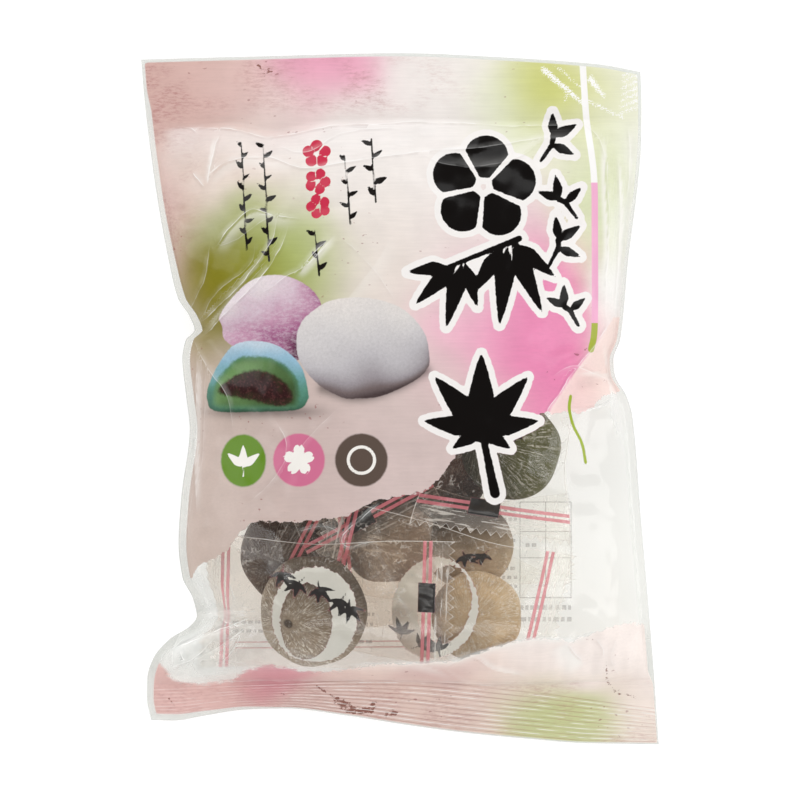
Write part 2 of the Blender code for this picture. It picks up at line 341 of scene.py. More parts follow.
def off_path(x, y, points):
    """How far each place is from a smooth line, below 0 on its right, and its share along it."""
    path = smooth_path(points)
    best = np.full(x.shape, np.inf)
    side = np.zeros(x.shape)
    share = np.zeros(x.shape)
    for k, (a, b) in enumerate(zip(path, path[1:])):
        off_x, off_y, t = from_stretch(x, y, a, b)
        gap = off_x**2 + off_y**2
        nearer = gap < best
        best = np.where(nearer, gap, best)
        turn = (b[0] - a[0]) * off_y - (b[1] - a[1]) * off_x
        side = np.where(nearer, np.sign(turn), side)
        share = np.where(nearer, (k + t) / (len(path) - 1), share)
    return np.sqrt(best) * np.where(side < 0, -1, 1), share


def crease_relief(x, y):
    """The height that the sharp creases add, the signed distance to the nearest one, and how white it is
    there, partly from the film's whitening and partly painted highlight."""
    relief = np.zeros(x.shape)
    signed = np.full(x.shape, 9.0)
    white = np.zeros(x.shape)
    for points, height, width, whiteness in CREASES:
        xs, ys = zip(*points)
        reach = 6 * width
        near = (x > min(xs) - reach) & (x < max(xs) + reach)
        near &= (y > min(ys) - reach) & (y < max(ys) + reach)
        off, share = off_path(x[near], y[near], points)
        taper = smooth(0, 0.18, share) * (1 - smooth(0.75, 1, share))
        relief[near] += height * taper * np.exp(-np.abs(off) / width)
        closer = np.abs(off) < np.abs(signed[near])
        signed[near] = np.where(closer, off, signed[near])
        fade = whiteness * taper * (1 - smooth(1.2, 2.4, np.abs(off)))
        white[near] = np.where(closer, fade, white[near])
    return relief, signed, white


def sheens(x, y):
    """How far painted highlight whitens the film: beside its larger folds, sharply at the fold, then
    fading, and along the window's lower edge.
    """
    share = np.zeros(x.shape)
    for points, width, whiteness in PAINTED_SHEENS:
        off, along = off_path(x, y, points)
        off = off * np.sign(width)
        taper = smooth(0, 0.2, along) * (1 - smooth(0.7, 1, along))
        lit = whiteness * taper * smooth(0, 0.35, off) * (1 - smooth(0.1, 1, off / abs(width)))
        share = np.maximum(share, np.where((along > 0) & (along < 1), lit, 0))
    # A painted highlight along the window's lower edge, from its middle to the right.
    below = curve(WINDOW_LOW, x) - y
    torn = 0.6 * np.exp(-np.abs(below - 0.2) / 1.1) * smooth(-14, 6, x) * (1 - smooth(60, 74, x))
    return np.maximum(share, torn * (below > -1))


def fine_front(x, y):
    """The front film's final height, with creases and small puckers."""
    from_side, from_bottom, from_top = insets(x, y)
    free = smooth(0, 7, from_side) * smooth(0, 7, from_bottom) * smooth(0, 7, from_top)
    relief = crease_relief(x, y)[0]
    relief += 0.35 * waves(x, y, 17, 3) + 0.16 * waves(x, y, 6.5, 4)
    near_end = np.exp(-np.minimum(from_bottom, from_top).clip(0) / 9)
    relief += 1.1 * near_end * waves(x, y, 6.0, 5, stretch=5.0)
    near_side = np.exp(-from_side.clip(0) / 7)
    relief += 0.8 * near_side * waves(y, x, 7.0, 6, stretch=4.0)
    on_seal = 1 - smooth(-1, 1, np.minimum(from_side, np.minimum(from_bottom, from_top)))
    relief = relief * free + 0.12 * on_seal * waves(x, y, 12, 7)
    return front_height(x, y) + relief


# ----------------------------------------------------------------------------------- mesh builders


# What moves the drawing's origin to the frame's: the outline's middle goes to X, Y 0.
SHIFT = -np.array([
    (LEFT_SIDE[-1][1] + RIGHT_SIDE[0][1]) / 2,
    (BOTTOM_END[-1][1] + TOP_END[2][1]) / 2,
    0.0,
])


def place(x, y, z):
    """Drawing millimetres as frame metres, one row for each point."""
    return (np.column_stack([np.ravel(x), np.ravel(y), np.ravel(z)]) + SHIFT) * MM


def grid_faces(rows, columns, start=0):
    """Quads of a grid whose points run along each row, facing up where rows go up and columns
    go right."""
    first = start + (np.arange(rows - 1)[:, None] * columns + np.arange(columns - 1)).ravel()
    return np.column_stack([first, first + 1, first + columns + 1, first + columns])


def make_mesh(name, places, faces, flat_map=None):
    """A smooth-shaded mesh object in the scene's collection, with a bake map if one is given."""
    mesh = bpy.data.meshes.new(name)
    mesh.from_pydata(places.tolist(), [], faces.tolist())
    mesh.shade_smooth()
    if flat_map is not None:
        layer = mesh.uv_layers.new(name="OFBake")
        corners = np.empty(len(mesh.loops), dtype=np.int32)
        mesh.loops.foreach_get("vertex_index", corners)
        layer.uv.foreach_set("vector", flat_map[corners].astype(np.float32).ravel())
    made = bpy.data.objects.new(name, mesh)
    bpy.context.scene.collection.objects.link(made)
    return made


def store(piece, **layers):
    """Keeps numbers or colours for each point of a piece, for its material to read."""
    for name, values in layers.items():
        values = np.asarray(values, np.float32)
        if values.ndim == 1:
            layer = piece.data.attributes.new(name, "FLOAT", "POINT")
            layer.data.foreach_set("value", values)
        else:
            layer = piece.data.attributes.new(name, "FLOAT_COLOR", "POINT")
            colours = np.column_stack([values, np.ones(len(values), np.float32)])
            layer.data.foreach_set("color", colours.ravel())


def linear(*colour):
    """An 8-bit sRGB colour as linear numbers."""
    c = np.array(colour, float) / 255
    return np.where(c <= 0.04045, c / 12.92, ((c + 0.055) / 1.055) ** 2.4)


# ------------------------------------------------------------------------ shapes of the print, flat


FAR = 99.0  # a distance at which no material draws anything


def nearest(shapes):
    """The distance to the nearest of some shapes."""
    return np.minimum.reduce(list(shapes))


def between(start, end, share):
    """The point at a share of the way from start to end."""
    return start[0] + (end[0] - start[0]) * share, start[1] + (end[1] - start[1]) * share


def toward(start, angle, length):
    """The point so far from start, in a direction in degrees."""
    way = np.radians(angle)
    return start[0] + length * np.cos(way), start[1] + length * np.sin(way)


def capsule(x, y, a, b, radius_a, radius_b):
    """Distance to a straight stroke whose half width goes from one radius to the other."""
    off_x, off_y, t = from_stretch(x, y, a, b)
    return np.hypot(off_x, off_y) - (radius_a + (radius_b - radius_a) * t)


def leaf(x, y, base, angle, length, width, belly=0.4, blunt=0.8):
    """Distance to a leaf that starts at base, bluntly if blunt is below 1, and is widest a
    belly's share along it."""
    way = np.array([np.cos(np.radians(angle)), np.sin(np.radians(angle))])
    along = ((x - base[0]) * way[0] + (y - base[1]) * way[1]) / length
    off = np.abs((x - base[0]) * way[1] - (y - base[1]) * way[0])
    t = np.clip(along, 0, 1)
    before, after = (t / belly).clip(0, 1), ((1 - t) / (1 - belly)).clip(0, 1)
    half = width / 2 * np.where(t < belly, np.sin(before * np.pi / 2) ** blunt, after**0.75)
    past = np.abs(along - t) * length
    return np.hypot(np.maximum(off - half, 0), past) - np.maximum(half - off, 0)


def plum_blossom(x, y, centre, size, turn=90.0):
    """Five round petals, parted by thin lines that run out from an open middle."""
    petals, gaps = [], []
    for angle in turn + np.arange(5) * 72:
        petal_x, petal_y = toward(centre, angle, size * 0.29)
        petals.append(np.hypot(x - petal_x, y - petal_y) - size * 0.205)
        outer = toward(centre, angle + 36, size * 0.42)
        gaps.append(-capsule(x, y, centre, outer, size * 0.012, size * 0.03))
    middle = size * 0.085 - np.hypot(x - centre[0], y - centre[1])
    return np.maximum.reduce([nearest(petals), middle, *gaps])


def bamboo_spray(x, y, start, end):
    """Slim brushed bamboo leaves that fan out from two joints of a slanting twig."""
    return nearest([capsule(x, y, start, end, 1.1, 0.7)] + [
        leaf(x, y, between(start, end, share), angle, length, width, 0.42, 1.5)
        for share, angle, length, width in (
            (0.12, -38, 20, 6.0), (0.12, -66, 27, 6.6), (0.16, -96, 29, 7.0), (0.2, -124, 22, 6.2),
            (0.78, -74, 17, 5.2), (0.8, -104, 24, 6.4), (0.86, -136, 21, 6.0), (0.98, -172, 15, 5.0),
        )])


def sprout(x, y, base, angle, size):
    """A short curved stem with three brushed leaves."""
    middle = toward(base, angle, 0.42 * size)
    end = toward(middle, angle + 26, 0.16 * size)
    return nearest([capsule(x, y, base, middle, 0.6, 0.9), capsule(x, y, middle, end, 0.9, 1.1)] + [
        leaf(x, y, start, angle + lean, length * size, width * size, 0.45)
        for start, lean, length, width in (
            (end, 34, 0.52, 0.2), (end, -28, 0.56, 0.22), (middle, -82, 0.5, 0.2))])


def maple_leaf(x, y, centre, size):
    """Seven pointed lobes and a stem that runs down to one side."""
    stem = (centre[0] + size * 0.1, centre[1] - size * 0.48)
    heart = np.hypot(x - centre[0], y - centre[1]) - size * 0.1
    return nearest([heart, capsule(x, y, centre, stem, size * 0.022, size * 0.036)] + [
        leaf(x, y, centre, angle, length * size, width * size, 0.45)
        for angle, length, width in (
            (90, 0.56, 0.19), (48, 0.52, 0.175), (132, 0.52, 0.175), (8, 0.43, 0.15),
            (172, 0.43, 0.15), (-34, 0.26, 0.11), (214, 0.26, 0.11))])


def cherry_blossom(x, y, centre, size):
    """Five petals, each with a notch in its broad end."""
    petals, length = [], size / 2
    for angle in 90 + np.arange(5) * 72:
        petal = leaf(x, y, centre, angle, length, length * 0.62, 0.66)
        inner, tip = toward(centre, angle, length * 0.74), toward(centre, angle, length)
        petals.append(np.maximum(petal, -capsule(x, y, inner, tip, 0.02 * length, 0.14 * length)))
    return nearest(petals)


def sprig(x, y, top, bottom, leaf_length=4.6, pitch=4.1):
    """A thin stem with brushed leaves to each side in turn, no two quite alike."""
    rng = np.random.default_rng(int(abs(top[0] * 10)) + 1)
    shapes = [capsule(x, y, top, bottom, 0.28, 0.4)]
    count = int(abs(top[1] - bottom[1]) / pitch)
    for k in range(count):
        angle = (40 if k % 2 else 140) + rng.uniform(-16, 16)
        length = leaf_length * rng.uniform(0.8, 1.15)
        width = length * rng.uniform(0.34, 0.46)
        shapes.append(leaf(x, y, between(top, bottom, (k + 0.5) / count), angle, length, width))
    return nearest(shapes)


def round_outline(x, y, corners):
    """Distance to the smooth closed outline through corners, below 0 inside it."""
    corners = np.array(corners, float)
    around = [np.roll(corners, shift, 0) for shift in (1, 0, -1, -2)]
    path = spline(*around, np.arange(5)[:, None, None] / 5).transpose(1, 0, 2).reshape(-1, 2)
    gap = np.full(x.shape, np.inf)
    crossed = np.zeros(x.shape, bool)
    for a, b in zip(path, np.roll(path, -1, 0)):
        off_x, off_y, _ = from_stretch(x, y, a, b)
        gap = np.minimum(gap, off_x**2 + off_y**2)
        slant = (b[0] - a[0]) / ((b[1] - a[1]) or 1e-9)
        crossed ^= ((a[1] > y) != (b[1] > y)) & (x < a[0] + (y - a[1]) * slant)
    return np.sqrt(gap) * np.where(crossed, -1, 1)


# ------------------------------------------------------------------------------ the print's contents

# Watercolour cloud patches, one of them a painted highlight: (across, along, reach across, reach along,
# strength, colour).
CLOUDS = [
    (-86, 106, 22, 24, 1.1, (208, 172, 164)),
    (-56, 113, 20, 13, 0.8, (218, 184, 178)),
    (-25, 121, 15, 12, 1.9, (230, 152, 181)),
    (-34, 104, 20, 8, 0.5, (230, 204, 200)),
    (6, 94, 46, 30, 1.0, (240, 234, 230)),
    (-62, 82, 20, 12, 1.3, (230, 214, 204)),
    (56, 109, 12, 11, 3.2, (200, 203, 108)),
    (42, 98, 13, 15, 1.2, (220, 228, 188)),
    (76, 102, 12, 18, 1.8, (230, 231, 202)),
    (72, 76, 10, 20, 2.2, (212, 219, 176)),
    # a near-white patch along the right side: painted highlight
    (84, 50, 9, 44, 2.4, (244, 243, 239)),
    (-47, 48, 16, 15, 3.0, (150, 158, 62)),
    (-60, 39, 14, 14, 9.0, (126, 118, 16)),
    (-56, 60, 20, 9, 1.2, (186, 194, 152)),
    (-36, 50, 12, 13, 0.9, (182, 202, 128)),
    (-84, 60, 10, 30, 1.4, (212, 178, 172)),
    (-74, 30, 9, 9, 0.9, (208, 186, 172)),
    (-6, 46, 26, 26, 0.8, (229, 218, 210)),
    (36, 62, 20, 18, 0.7, (230, 212, 212)),
    (49, 20, 13, 27, 2.6, (230, 130, 174)),
    (34, 26, 18, 18, 1.1, (236, 174, 198)),
    (76, 14, 8, 14, 1.0, (236, 208, 204)),
    (-62, -14, 18, 30, 0.9, (200, 182, 172)),
    (-36, -18, 26, 22, 1.0, (199, 179, 174)),
    (6, -16, 26, 22, 1.1, (209, 190, 186)),
    (34, -2, 14, 12, 0.8, (224, 186, 190)),
    (-46, -96, 11, 6.5, 1.7, (208, 142, 152)),
    (-76, -106, 20, 9, 1.4, (224, 186, 180)),
    (-16, -108, 28, 10, 1.0, (222, 196, 188)),
    (22, -102, 30, 12, 1.0, (234, 212, 201)),
    (14, -97, 11, 3.5, 1.3, (204, 168, 166)),
    (59, -112, 13, 6.5, 3.2, (200, 206, 152)),
    (84, -108, 12, 10, 1.6, (240, 226, 216)),
    (70, -92, 28, 12, 1.8, (246, 235, 229)),
]
WINDOW_TOP = [
    (-95, -70), (-74, -63.7), (-69.5, -57.7), (-62.5, -54.8), (-58.5, -51), (-56, -47.3),
    (-50, -42.7), (-33, -42.4), (-18, -40.6), (-10, -36.7), (-2, -33.8), (7.5, -32.4),
    (13.5, -28.5), (16.5, -24.9), (20.5, -19.6), (34, -12.1), (52, -4.5), (66, -3.9),
    (72.5, 1.1), (81, 3.6),
]
WINDOW_LOW = [
    (-95, -91), (-85, -94), (-79, -99.7), (-71.5, -101.1), (-61, -100.4), (-51.5, -95.1),
    (-45.5, -94), (-30.5, -96.5), (-5, -93.3), (20, -91.8), (29.5, -88.3), (48.5, -83.7),
    (62, -84.4), (68.5, -82.2), (82.5, -79), (92, -80.5),
]
MARGIN = 2.1  # the clear border of the print
RIBBON = [(66.2, 122), (67.6, 100), (69.8, 80), (70, 60), (69.9, 27), (68.6, 18)]
RIBBON_ENDS = 77.3, 27.4  # where its white and its rose stretch end
TENDRIL = [(61.2, 1.5), (60.6, -3), (62, -9), (65, -15), (66.4, -22)]
# The colour discs, as (across, along, half width, half height), and the gaps between them.
DISCS = [(-54.2, -21.2, 8.1, 9.2), (-34.4, -20.9, 9.1, 9.3), (-12.5, -20.9, 9.2, 9.3)]
DISC_GAPS = -44.6, -23.6
# The outlines of the pictured rice cakes.
ROSE_CAKE = [
    (-62, 26.6), (-62.9, 29.5), (-59.2, 35), (-51.4, 42.2), (-41.4, 44.1), (-32, 40.6), (-26.7, 33.9),
    (-27.4, 25), (-31.6, 15.5), (-41.7, 14), (-54.1, 17.5), (-60.9, 21.4),
]
WHITE_CAKE = [
    (-35.3, 20.5), (-34.7, 25), (-32, 29.4), (-23.6, 35), (-11.4, 36.1), (0.9, 32.8), (9.2, 24.4),
    (11.4, 15), (10.6, 11.2), (8.3, 8.5), (4.2, 5.8), (-2.5, 2.6), (-8, 1), (-13.6, 0.7), (-19.2, 1),
    (-28.1, 6), (-34.2, 13.9),
]
GREEN_CAKE = [
    (-67, -1.7), (-67.3, 3.9), (-62.5, 13.9), (-55.9, 20.3), (-43.6, 19.9), (-34.2, 12.8),
    (-31.1, 2.7), (-31.7, -0.6), (-33.6, -2.8), (-38.1, -3.7), (-51.4, -4.1), (-61.4, -4.2),
    (-65.4, -3.4),
]
CUT_FACE = [
    (-65.4, 1.6), (-63.7, 7.1), (-57, 14.4), (-51.4, 15.5), (-44.7, 15), (-39.2, 12.2),
    (-35.3, 7.7), (-34.2, 2.7), (-34.7, -1.2), (-37, -2.8), (-50, -3), (-61.4, -2.8), (-64.8, -1.7),
]
FILLING = [
    (-63.3, 3.8), (-59.2, 7.7), (-54.8, 9.8), (-49.8, 10.6), (-44.7, 9.7), (-40.1, 6.9),
    (-37, 3.3), (-36.6, 0.3), (-39, -1.8), (-43.6, -1.8), (-49.2, -0.4), (-54.8, 0.8), (-61.5, 2),
]


def cloud_and_painted_sheen_colour(x, y):
    """The watercolour ground of the print, in linear colour, with a painted reflection that whitens it just
    below the top seal.
    """
    total = np.zeros((len(x), 3))
    weight = np.zeros(len(x))
    # A painted reflection: the film is whitened just below the top seal's crease, fading away downward and
    # to the right.
    under_seal = -off_path(x, y, TOP_CREASE)[0]
    sheen = 0.42 * smooth(0, 0.7, under_seal) * (1 - smooth(3, 17, under_seal))
    sheen *= smooth(-86, -78, x) * (1 - smooth(10, 60, x))
    panel = smooth(0, 0.6, off_path(x, y, WAIST_CREASE)[0]) * ((y < 30) & (x > 46)) * 0.85
    panel *= smooth(-40, -14, y)
    x = x + 3.0 * waves(x, y, 34, 21)
    y = y + 3.0 * waves(x, y, 30, 22)
    for cloud_x, cloud_y, reach_x, reach_y, strength, colour in CLOUDS:
        off = ((x - cloud_x) / reach_x) ** 2 + ((y - cloud_y) / reach_y) ** 2
        share = strength * (np.exp(-off) + 0.02 / (1 + off))
        total += share[:, None] * linear(*colour)
        weight += share
    ground = total / weight[:, None]
    for share, colour in ((sheen, (242, 238, 236)), (panel, (241, 219, 211))):
        ground += share[:, None] * (linear(*colour) - ground)
    return ground


def dry_brush(x, y):
    """How strongly a dry brush went over the ground: most at the left side and the seals."""
    left = np.exp(-((x + 90) / 15).clip(0) ** 2) * smooth(-20, 60, y)
    ends = 0.6 * smooth(99, 108, y) * (1 - smooth(-10, 40, x)) + 0.5 * smooth(-96, -104, y)
    return 0.8 * np.clip(left + ends, 0, 1)


# Brown flecks that are printed in the seals: points, width and strength.
FLECKS = [
    ([(-21.5, -107.3), (-19.5, -109), (-17, -110.6), (-13, -111), (-9.5, -110.6), (-8.8, -108.6)],
     1.7, 1.0),
    ([(-20, -107.5), (-17, -108.6), (-15.5, -110.5)], 0.9, 1.0),
    ([(-28.5, -102), (-26, -104), (-22.5, -105.8)], 0.6, 0.95),
    ([(-4, -112), (-0.5, -111.2)], 1.3, 1.0),
    ([(-49.5, 119.4), (-47, 117), (-44.6, 118.6)], 1.4, 0.72),
    ([(-41, -104.5), (-40, -105.5)], 0.5, 0.95),
    ([(-81.5, -106.5), (-79, -109.5)], 0.6, 0.9),
    ([(74, -94), (75.5, -101), (79, -104.5), (86, -106)], 0.8, 0.72),
]


def brown_flecks(x, y):
    """Where brown flecks are printed in the seals: 1 on their lines, fading beside them."""
    share = np.zeros(x.shape)
    for points, width, full in FLECKS:
        share = np.maximum(share, full * np.exp(-((off_path(x, y, points)[0] / width) ** 2)))
    return share


def shade(stops, value):
    """Colours between the stops, (value, colour), at each value."""
    places, colours = zip(*stops)
    table = np.array([linear(*c) for c in colours])
    return np.column_stack([np.interp(value, places, table[:, k]) for k in range(3)])


def pictured_cakes(x, y):
    """Distances to the parts of the printed rice cakes, and the smooth colours of each."""
    rose, white = round_outline(x, y, ROSE_CAKE), round_outline(x, y, WHITE_CAKE)
    green = round_outline(x, y, GREEN_CAKE)
    face, filling = round_outline(x, y, CUT_FACE), round_outline(x, y, FILLING)
    rose_up = -0.12 + (-0.42 * (x + 44) + 0.9 * (y - 31)) / 14 + 0.22 * waves(x, y, 13, 37)
    white_up = (-0.12 * (x + 12) + (y - 19)) / 17 + 0.1 * waves(x, y, 20, 38)
    white_up -= 0.5 * np.exp(white / 1.8) * smooth(-24, 4, x) * smooth(30, 14, y)
    white_up -= 0.3 * np.exp(white / 4.5) * smooth(16, 4, y)
    rose_up -= 0.5 * np.exp(rose / 2.5) * smooth(-46, -32, x)
    green_up = (y + 4) / 25 + 0.05 * waves(x, y, 9, 39)
    cut = 1.0 + 0.12 * waves(x, y, 8, 40) - 0.028 * (x + 56) - 0.35 * smooth(8, -2, y)
    cut = linear(104, 138, 86) * cut[:, None].clip(0.35, 1.3)
    cut += smooth(-2.2, 0, face)[:, None] * (linear(82, 128, 100) - cut) * 0.7
    return {
        "rose": (rose, shade([
            (-1.4, (90, 46, 70)), (-0.8, (160, 96, 134)), (-0.3, (190, 144, 168)),
            (0.1, (207, 180, 194)), (0.45, (223, 208, 213)), (1.1, (232, 224, 224))], rose_up)),
        "white": (white, shade([
            (-1.5, (72, 60, 60)), (-1.1, (114, 101, 101)), (-0.8, (152, 145, 149)), (-0.3, (187, 183, 186)),
            (0.2, (205, 201, 201)), (0.7, (217, 212, 209)), (1.1, (223, 216, 211))], white_up)),
        "green": (green, shade([
            (0, (54, 80, 64)), (0.12, (70, 112, 92)), (0.3, (88, 138, 120)), (0.5, (110, 158, 160)),
            (0.75, (146, 182, 202)), (1, (190, 206, 218))], green_up)),
        "face": (face, cut),
        "filling": (filling, shade([
            (-3, (50, 28, 28)), (0, (54, 48, 34))], filling + 1.2 * waves(x, y, 5, 33))),
    }


def cast_shade(x, y):
    """How much the printed cakes darken the ground below them."""
    low = np.exp(-(((x + 47) / 20) ** 4 + ((y + 4.0) / 2.2) ** 2))
    right = np.exp(-((off_path(x, y, [(-26, 4.2), (-14, 1.2), (0, 4.8), (10, 10.4)])[0] / 2.2) ** 2))
    return 1 - 0.6 * np.maximum(low, right)


def bold_motifs(x, y):
    """The big column of brushed motifs, and the small sprouts beside it."""
    sprouts = ((51, 85), 56, 17.5), ((63.5, 64.5), 126, 16), ((53.5, 47.5), 62, 17), ((64, 26.5), 120, 14.5)
    return nearest([
        plum_blossom(x, y, (30.5, 75.5), 38, turn=84),
        bamboo_spray(x, y, (43, 57), (18, 47)),
        maple_leaf(x, y, (29.5, -10), 47),
        *(sprout(x, y, *each) for each in sprouts),
    ])


def small_motifs(x, y):
    """Fine dark sprigs between the bold column and the left side."""
    smaller = [
        sprig(x, y, top, bottom, 3.9, 3.7)
        for top, bottom in (
            ((-18.6, 87), (-16.4, 62)), ((-29.2, 60), (-27.4, 44)),
            ((-47.6, 92), (-45.0, 49)), ((-55.4, 92), (-53.0, 53)))]
    return nearest([sprig(x, y, (-9.2, 93), (-7.6, 70)), *smaller])


def red_motifs(x, y):
    """Three small red blossoms, one above another."""
    blossoms = ((-28.6, 87.5), 10.5, 90), ((-28.2, 77.5), 9.5, 70), ((-27.8, 68.5), 9, 110)
    return nearest(plum_blossom(x, y, *each) for each in blossoms)


def disc_shapes(x, y):
    """The three colour discs, and the pale motif on each."""
    discs = nearest(
        (np.hypot((x - centre_x) / wide, (y - centre_y) / high) - 1) * wide
        for centre_x, centre_y, wide, high in DISCS)
    (green_x, green_y), rose, (brown_x, brown_y) = [disc[:2] for disc in DISCS]
    marks = [leaf(x, y, (green_x, green_y - 2), angle, 7.6, 3.0) for angle in (90, 38, 142)]
    marks.append(capsule(x, y, (green_x, green_y - 5.5), (green_x, green_y), 0.3, 0.3))
    marks.append(cherry_blossom(x, y, rose, 12.5))
    marks.append(np.abs(np.hypot(x - brown_x, y - brown_y) - 4.6) - 0.55)
    return discs, nearest(marks)


def twig_shape(x, y):
    """White feathery twigs across the top right corner, beside the ribbon."""
    twigs = [
        ((52.5, 118), (67, 105.5), 0.9, 0.45), ((57, 119.5), (66.5, 111), 0.15, 0.075),
        ((68, 107), (80.5, 101), 0.3, 0.15), ((69, 115), (74, 108.5), 1.0, 0.5),
        ((61, 112), (60, 107), 0.1, 0.05),
    ]
    for k in range(7):
        level = 102.5 + 2.3 * k
        twigs.append(((79.6 + 0.2 * k, level), (86, level + 2.4), 0.1, 0.35))
    return nearest(capsule(x, y, *twig) for twig in twigs)


# ----------------------------------------------------------------------------------- node building


def as_colour(colour):
    """A colour as a socket takes it: three numbers are 8-bit sRGB, and anything else is ready."""
    is_plain = isinstance(colour, tuple) and len(colour) == 3
    return (*linear(*colour), 1.0) if is_plain else colour


class Value:
    """What a node gives. Reckoning with it adds nodes to the same tree."""

    def __init__(self, tree, socket):
        self.tree, self.socket = tree, socket

    def maths(self, operation, *others):
        """A node that reckons with this and the others."""
        return self.tree.add("Math", dict(enumerate((self, *others))), operation=operation)

    def __add__(self, other):
        return self.maths("ADD", other)

    def __sub__(self, other):
        return self.maths("SUBTRACT", other)

    def __mul__(self, other):
        return self.maths("MULTIPLY", other)

    def __gt__(self, other):
        return self.maths("GREATER_THAN", other)

    def __abs__(self):
        return self.maths("ABSOLUTE")

    def multiply_add(self, factor, more):
        """This times the factor, and more added."""
        return self.maths("MULTIPLY_ADD", factor, more)

    def ramp(self, low, high, to_low=0.0, to_high=1.0, even=True):
        """This between low and high, as a number between to_low and to_high."""
        inputs = {"Value": self, "From Min": low, "From Max": high, "To Min": to_low, "To Max": to_high}
        kind = "SMOOTHSTEP" if even else "LINEAR"
        return self.tree.add("MapRange", inputs, "Result", interpolation_type=kind)

    def inside(self, soft=0.12):
        """1 where this distance is below 0."""
        return self.ramp(-soft, soft, 1.0, 0.0)


def most(first, *others):
    """The highest of some values."""
    for other in others:
        first = first.maths("MAXIMUM", other)
    return first


class Tree:
    """The nodes of a new material."""

    def __init__(self, name):
        self.material = bpy.data.materials.new(name)
        self.material.use_nodes = True
        self.graph = self.material.node_tree
        self.graph.nodes.clear()

    def add(self, kind, inputs=None, output=0, **settings):
        """An output of a new node with these settings, whose inputs are linked or set."""
        node = self.graph.nodes.new("ShaderNode" + kind)
        for name, value in settings.items():
            setattr(node, name, value)
        for name, value in (inputs or {}).items():
            if isinstance(value, Value):
                self.graph.links.new(value.socket, node.inputs[name])
            else:
                node.inputs[name].default_value = value
        return Value(self, node.outputs[output])

    def finish(self, surface):
        """The material, with this surface."""
        output = self.graph.nodes.new("ShaderNodeOutputMaterial")
        self.graph.links.new(surface.socket, output.inputs["Surface"])
        return self.material

    def stored(self, name, colour=False):
        """What store() kept under this name."""
        return self.add("Attribute", output="Color" if colour else "Fac", attribute_name=name)

    def where(self):
        """The place on the piece, in metres."""
        return self.add("TexCoord", output="Object")

    def blend(self, factor, a, b, mode="MIX"):
        """Colour a, turned into colour b by the factor's share."""
        inputs = {0: factor, 6: as_colour(a), 7: as_colour(b)}
        return self.add("Mix", inputs, 2, data_type="RGBA", blend_type=mode)

    def noise(self, length, detail=2.0, stretch=(1, 1, 1), roughness=0.5, vector=None):
        """Noise whose lumps are about so many millimetres across, times the stretch. A vector
        that is given counts in millimetres already."""
        if vector is None:
            scale = tuple(1 / MM / s for s in stretch)
            vector = self.add("Mapping", {"Vector": self.where(), "Scale": scale})
        inputs = {"Vector": vector, "Scale": 1 / length, "Detail": detail, "Roughness": roughness}
        return self.add("TexNoise", inputs, "Fac")

    def rough_edge(self, name, amount, length, detail=3.0):
        """A stored distance with noise added, so that its edge looks brushed or torn."""
        wobble = self.noise(length, detail) - 0.5
        return wobble.multiply_add(amount * 2, self.stored(name))

    def bump(self, height, distance, strength):
        """The surface's direction over relief so many millimetres high."""
        inputs = {"Height": height, "Distance": distance * MM, "Strength": strength}
        return self.add("Bump", inputs, "Normal")

    def mix(self, factor, a, b):
        """Surface a, turned into surface b by the factor's share."""
        return self.add("MixShader", {0: factor, 1: a, 2: b})

    def let_light_in(self, surface, colour):
        """Lets lamps shine through a film in the given colour, as thin film does."""
        on_the_way = self.add("LightPath", output="Is Shadow Ray")
        open_to_light = self.add("BsdfTransparent", {"Color": as_colour(colour)})
        return self.mix(on_the_way, surface, open_to_light)

    def clear_film(self, normal, haze, haze_colour, tint=(246, 246, 244), gloss_index=1.3):
        """Clear film: it lets light through, veils it a little and mirrors some."""
        through = self.add("BsdfTransparent", {"Color": as_colour(tint)})
        veil = self.add("BsdfDiffuse", {"Color": as_colour(haze_colour)})
        gloss = {"Color": (1, 1, 1, 1), "Roughness": 0.13, "Normal": normal}
        mirrored = self.add("Fresnel", {"IOR": gloss_index, "Normal": normal})
        mirrored = mirrored.maths("MINIMUM", MOST_MIRRORED)
        return self.mix(mirrored, self.mix(haze, through, veil), self.add("BsdfGlossy", gloss))


# ---------------------------------------------------------------------------------- film materials

PAINTED_SHEEN_WHITE = (246, 243, 238)


def bold_outline(bold):
    """1 on the bold motifs and on the pale outline around them."""
    return bold.ramp(2.1, 2.4, 1.0, 0.0)


